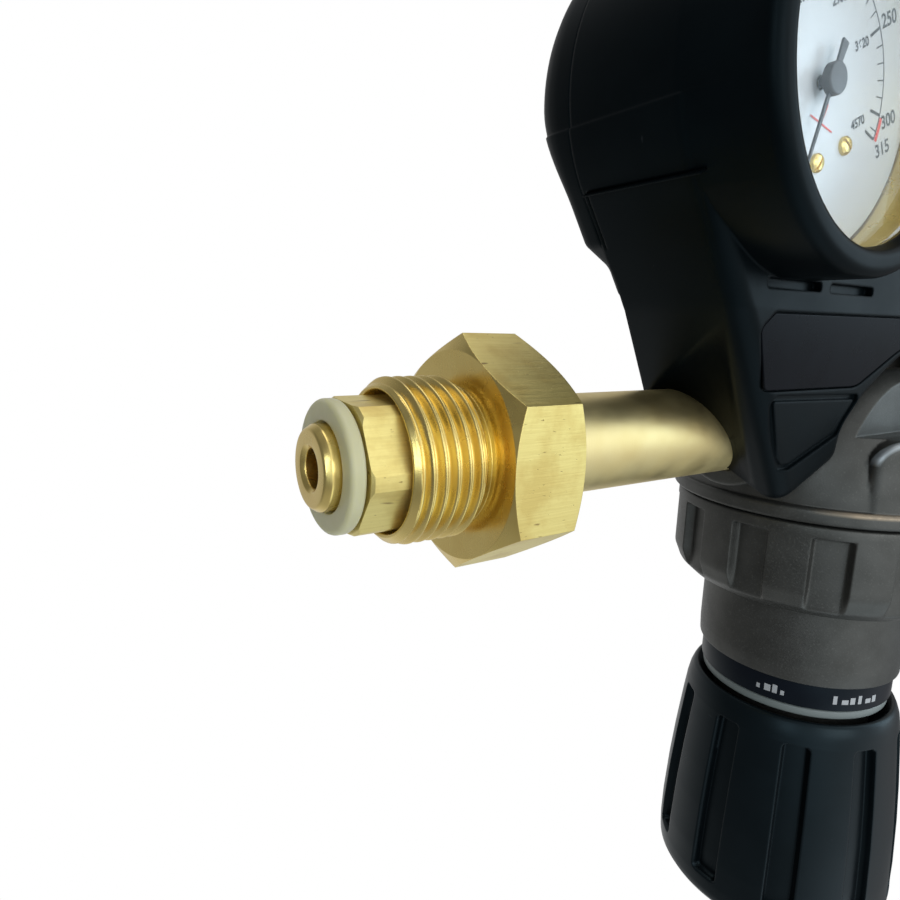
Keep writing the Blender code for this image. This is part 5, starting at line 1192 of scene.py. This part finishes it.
def makeGauge(name, v, shape):
    place = gaugePlace(v["side"])
    r, back, front, wall, dialR = (shape[key] for key in ("caseR", "caseBack", "caseFront", "caseWall", "dialR"))
    case = lathe(f"{name}GaugeCaseShape", [(0, back), (r, back, 0.001), (r, front, 0.0003), (r - wall, front, 0.0003),
                                           (r - wall, back + wall), (0, back + wall)], brass, place, 128)
    slot = [(-0.0068, -0.029), (0.0068, -0.029), (0.0068, -0.021), (-0.0068, -0.021)]
    carve(case, [prism("caseSlot", slot, -0.0024, 0.0094, brass, place)])
    put(case, "regulator", "brass", f"{name}_gauge_case")
    low, top = shape["dial"] - shape["dialThick"], shape["dial"]
    dial = hoop(f"{name}GaugeDialShape", shape["dialHoleR"], dialR, low, top, (0, 0.0002), dialWhite, place)
    makeDialPrint(name, v, place)
    makeDialScrews(name, shape, place)
    put(dial, "regulator", "dial", f"{name}_gauge_dial")
    makePointer(name, shape, place)
    low, top = shape["crystal"]
    glass = hoop(f"{name}GaugeCrystalShape", 0, dialR, low, top, (0, 0.0004), crystal, place)
    glass.visible_shadow = False
    put(glass, "regulator", "clear_plastic", f"{name}_gauge_crystal")
    print(name, "gauge made")


for gaugeName, gaugeValues in gauges.items():
    makeGauge(gaugeName, gaugeValues, gaugeShape)

# ---- outlet and relief valve

outlet = {
    "from": 0.0286, "stemR": 0.00808, "threadR": 0.00833, "threadFrom": 0.060, "end": 0.073,
    "innerR": 0.004, "seatR": 0.005,
    "nutLow": 0.0620, "nutEnd": 0.0780, "flats": 0.022, "nutBoreR": 0.00863, "nutFloor": 0.076, "nutHoleR": 0.0055,
    "flangeR": 0.0076, "flangeLow": 0.0733, "flangeTop": 0.0757,
    "tailR": 0.0044, "barbR": 0.0051, "barbs": 4, "firstBarb": 0.004, "tailEnd": 0.107, "boreR": 0.0024,
}


def makeOutlet(v):
    end, thread, low = v["end"], v["threadFrom"], v["nutLow"]
    stem = lathe("outletStemShape", [
        (v["stemR"], v["from"]), (v["stemR"], thread - 0.0004), (v["threadR"], thread), (v["threadR"], end, 0.0006),
        (v["seatR"], end), (v["innerR"], end - 0.002), (v["innerR"], v["from"])], brass, toOutlet, 128)
    put(stem, "regulator", "brass", "outlet_stem")
    nut = hexNut("outletNutShape", v["flats"], v["flats"] / 2 - 0.0001, low, v["nutEnd"], toOutlet, v["nutHoleR"])
    carve(nut, [plug("nutBore", v["nutBoreR"], low - 0.001, v["nutFloor"], brass, toOutlet, 96)], sharp=16)
    put(nut, "hose_nut", "brass", "outlet_nut")
    outside = [(v["boreR"], v["flangeLow"]), (v["flangeR"], v["flangeLow"]),
               (v["flangeR"], v["flangeTop"]), (v["tailR"], v["flangeTop"])]
    start = v["nutEnd"] + v["firstBarb"]
    for barb in range(v["barbs"]):
        here = start + barb * (v["tailEnd"] - start) / v["barbs"]
        outside += [(v["tailR"], here, 0.0002), (v["barbR"], here + 0.0003, 0.0002), (v["barbR"], here + 0.0009, 0.0004)]
    outside += [(v["tailR"], v["tailEnd"], 0.0003), (v["boreR"], v["tailEnd"], 0.0002)]
    put(lathe("hoseTailShape", outside, brass, toOutlet, 96), "regulator", "brass", "hose_tail")


reliefShape = {"flats": 0.013, "nutLow": 0.1213, "nutTop": 0.1268,
               "low": 0.1125, "spigotR": 0.005, "r": 0.0055, "top": 0.1358, "ventR": 0.0012}


def makeRelief(v):
    nut = hexNut("reliefBodyShape", v["flats"], v["flats"] / 2, v["nutLow"], v["nutTop"], reliefPlace, 0)
    cap = lathe("cap", [(v["ventR"], v["low"]), (v["spigotR"], v["low"] - 0.0005), (v["spigotR"], 0.1225), (v["r"], 0.1235),
                        (v["r"], v["top"], 0.0012), (v["ventR"], v["top"], 0.0003)], brass, reliefPlace, 64)
    put(merged(nut, [cap]), "regulator", "brass", "relief_body")


plugShape = {"low": 0.118, "threadR": 0.0077, "headR": 0.0104, "headHigh": 0.003, "key": 0.008, "keyDeep": 0.0018}


def makeValvePlug(v):
    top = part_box("valve_plug")[1].z
    under = top - v["headHigh"]
    made = lathe("valvePlugShape", [
        (0, v["low"]), (v["threadR"], v["low"]), (v["threadR"], under), (v["headR"], under, 0.0003),
        (v["headR"], top, 0.0007), (0, top)], brass, None, 96)
    carve(made, [prism("plugKey", hexOutline(v["key"]), top - v["keyDeep"], top + 0.001, brass)])
    put(made, "regulator", "brass", "valve_plug")


makeOutlet(outlet)
makeRelief(reliefShape)
makeValvePlug(plugShape)
print("outlet, relief valve and plug made")

# ---- camera, light, backdrop

camera = {"lens": 26.41, "head": 33.04, "down": 10.87, "roll": 1.64, "spot": (-0.151, -0.078, 0.1316)}


def makeCamera(v):
    made = bpy.data.objects.new("Camera", bpy.data.cameras.new("Camera"))
    bpy.context.scene.collection.objects.link(made)
    made.data.lens = v["lens"]  # mm, on a sensor 36 mm wide
    made.data.sensor_width = 36
    made.data.clip_start = 0.01
    head, down, roll = (math.radians(v[key]) for key in ("head", "down", "roll"))
    forward = Vector((math.sin(head) * math.cos(down), math.cos(head) * math.cos(down), -math.sin(down)))
    level = forward.cross(Vector((0, 0, 1))).normalized()
    right = level * math.cos(roll) + level.cross(forward) * math.sin(roll)
    up = right.cross(forward)
    place = Matrix((right, up, -forward)).transposed().to_4x4()
    place.translation = Vector(v["spot"])
    made.matrix_world = place
    bpy.context.scene.camera = made


lamps = (
    # name, place, aim, size, watts, colour
    ("frontSoft", (-0.10, -0.85, 0.30), (-0.05, 0, 0.12), (0.5, 0.4), 1.4, (0.95, 0.98, 1.0)),
    ("leftStrip", (-0.75, -0.45, 0.30), (-0.05, 0, 0.13), (0.12, 0.5), 0.9, (0.80, 0.92, 1.0)),
    ("rightSoft", (0.60, -0.45, 0.25), (0.02, 0, 0.08), (0.3, 0.5), 1.2, (0.64, 0.86, 1.0)),
    ("topSoft", (-0.05, 0.10, 0.85), (-0.03, 0, 0.1), (0.5, 0.5), 1.2, (1.0, 0.97, 0.92)),
)

# brighter areas of the surroundings: direction, cosines where they start and are full, strength, colour
surroundingsBase = (0.19, 0.195, 0.20)
surroundings = (
    ((0.22, -0.92, 0.30), 0.20, 0.98, 1.0, (0.93, 0.97, 1.0)),
    ((0.30, 0.92, -0.25), 0.25, 0.95, 0.42, (1.0, 1.0, 0.99)),
    ((0.0, 0.0, -1.0), 0.35, 0.95, 0.25, (0.96, 1.0, 1.0)),
    ((0.15, 0.10, 0.98), 0.50, 1.0, 0.16, (0.92, 0.97, 1.0)),
    ((0.46, -0.44, 0.77), 0.93, 1.0, 0.6, (0.93, 0.98, 1.0)),
    ((0.68, 0.25, 0.69), 0.80, 1.0, 0.38, (1.0, 0.93, 0.82)),
    ((-0.52, -0.82, -0.05), 0.86, 1.0, 0.55, (0.70, 0.88, 1.0)),
    ((0.12, -0.52, -0.85), 0.84, 1.0, 1.0, (0.75, 0.90, 1.0)),
)


def makeLamps():
    for name, spot, aim, size, power, colour in lamps:
        data = bpy.data.lights.new(name, "AREA")
        data.shape = "RECTANGLE"
        data.size, data.size_y = size
        data.energy = power
        data.color = colour
        made = bpy.data.objects.new(name, data)
        bpy.context.scene.collection.objects.link(made)
        made.location = spot
        made.rotation_euler = (Vector(aim) - Vector(spot)).to_track_quat("-Z", "Y").to_euler()


def makeSurroundings():
    # the camera sees plain white, the object is lit by soft areas
    world = bpy.data.worlds.new("World")
    bpy.context.scene.world = world
    world.use_nodes = True
    tree = world.node_tree
    tree.nodes.clear()
    out = addNode(tree, "ShaderNodeOutputWorld")
    seen = addNode(tree, "ShaderNodeBackground", Strength=1.0)
    seen.inputs["Color"].default_value = (1, 1, 1, 1)
    light = addNode(tree, "ShaderNodeBackground", Strength=1.0)
    coords = addNode(tree, "ShaderNodeTexCoord")
    total = addNode(tree, "ShaderNodeRGB").outputs["Color"]
    total.default_value = (*surroundingsBase, 1)
    for way, start, full, strength, colour in surroundings:
        toward = addNode(tree, "ShaderNodeVectorMath", operation="DOT_PRODUCT")
        tree.links.new(coords.outputs["Generated"], toward.inputs[0])
        toward.inputs[1].default_value = Vector(way).normalized()
        soft = addNode(tree, "ShaderNodeMapRange", interpolation_type="SMOOTHSTEP")
        for spot, number in zip(("From Min", "From Max", "To Min", "To Max"), (start, full, 0, strength)):
            soft.inputs[spot].default_value = number
        tree.links.new(toward.outputs["Value"], soft.inputs["Value"])
        added = addNode(tree, "ShaderNodeMix", data_type="RGBA", blend_type="ADD")
        tree.links.new(soft.outputs["Result"], added.inputs["Factor"])
        tree.links.new(total, added.inputs[6])
        added.inputs[7].default_value = (*colour, 1)
        total = added.outputs[2]
    tree.links.new(total, light.inputs["Color"])
    path = addNode(tree, "ShaderNodeLightPath")
    mix = addNode(tree, "ShaderNodeMixShader")
    tree.links.new(path.outputs["Is Camera Ray"], mix.inputs["Fac"])
    tree.links.new(light.outputs["Background"], mix.inputs[1])
    tree.links.new(seen.outputs["Background"], mix.inputs[2])
    tree.links.new(mix.outputs["Shader"], out.inputs["Surface"])


makeCamera(camera)
makeLamps()
makeSurroundings()
bpy.context.scene.view_settings.view_transform = "Standard"
print("camera and lights made")
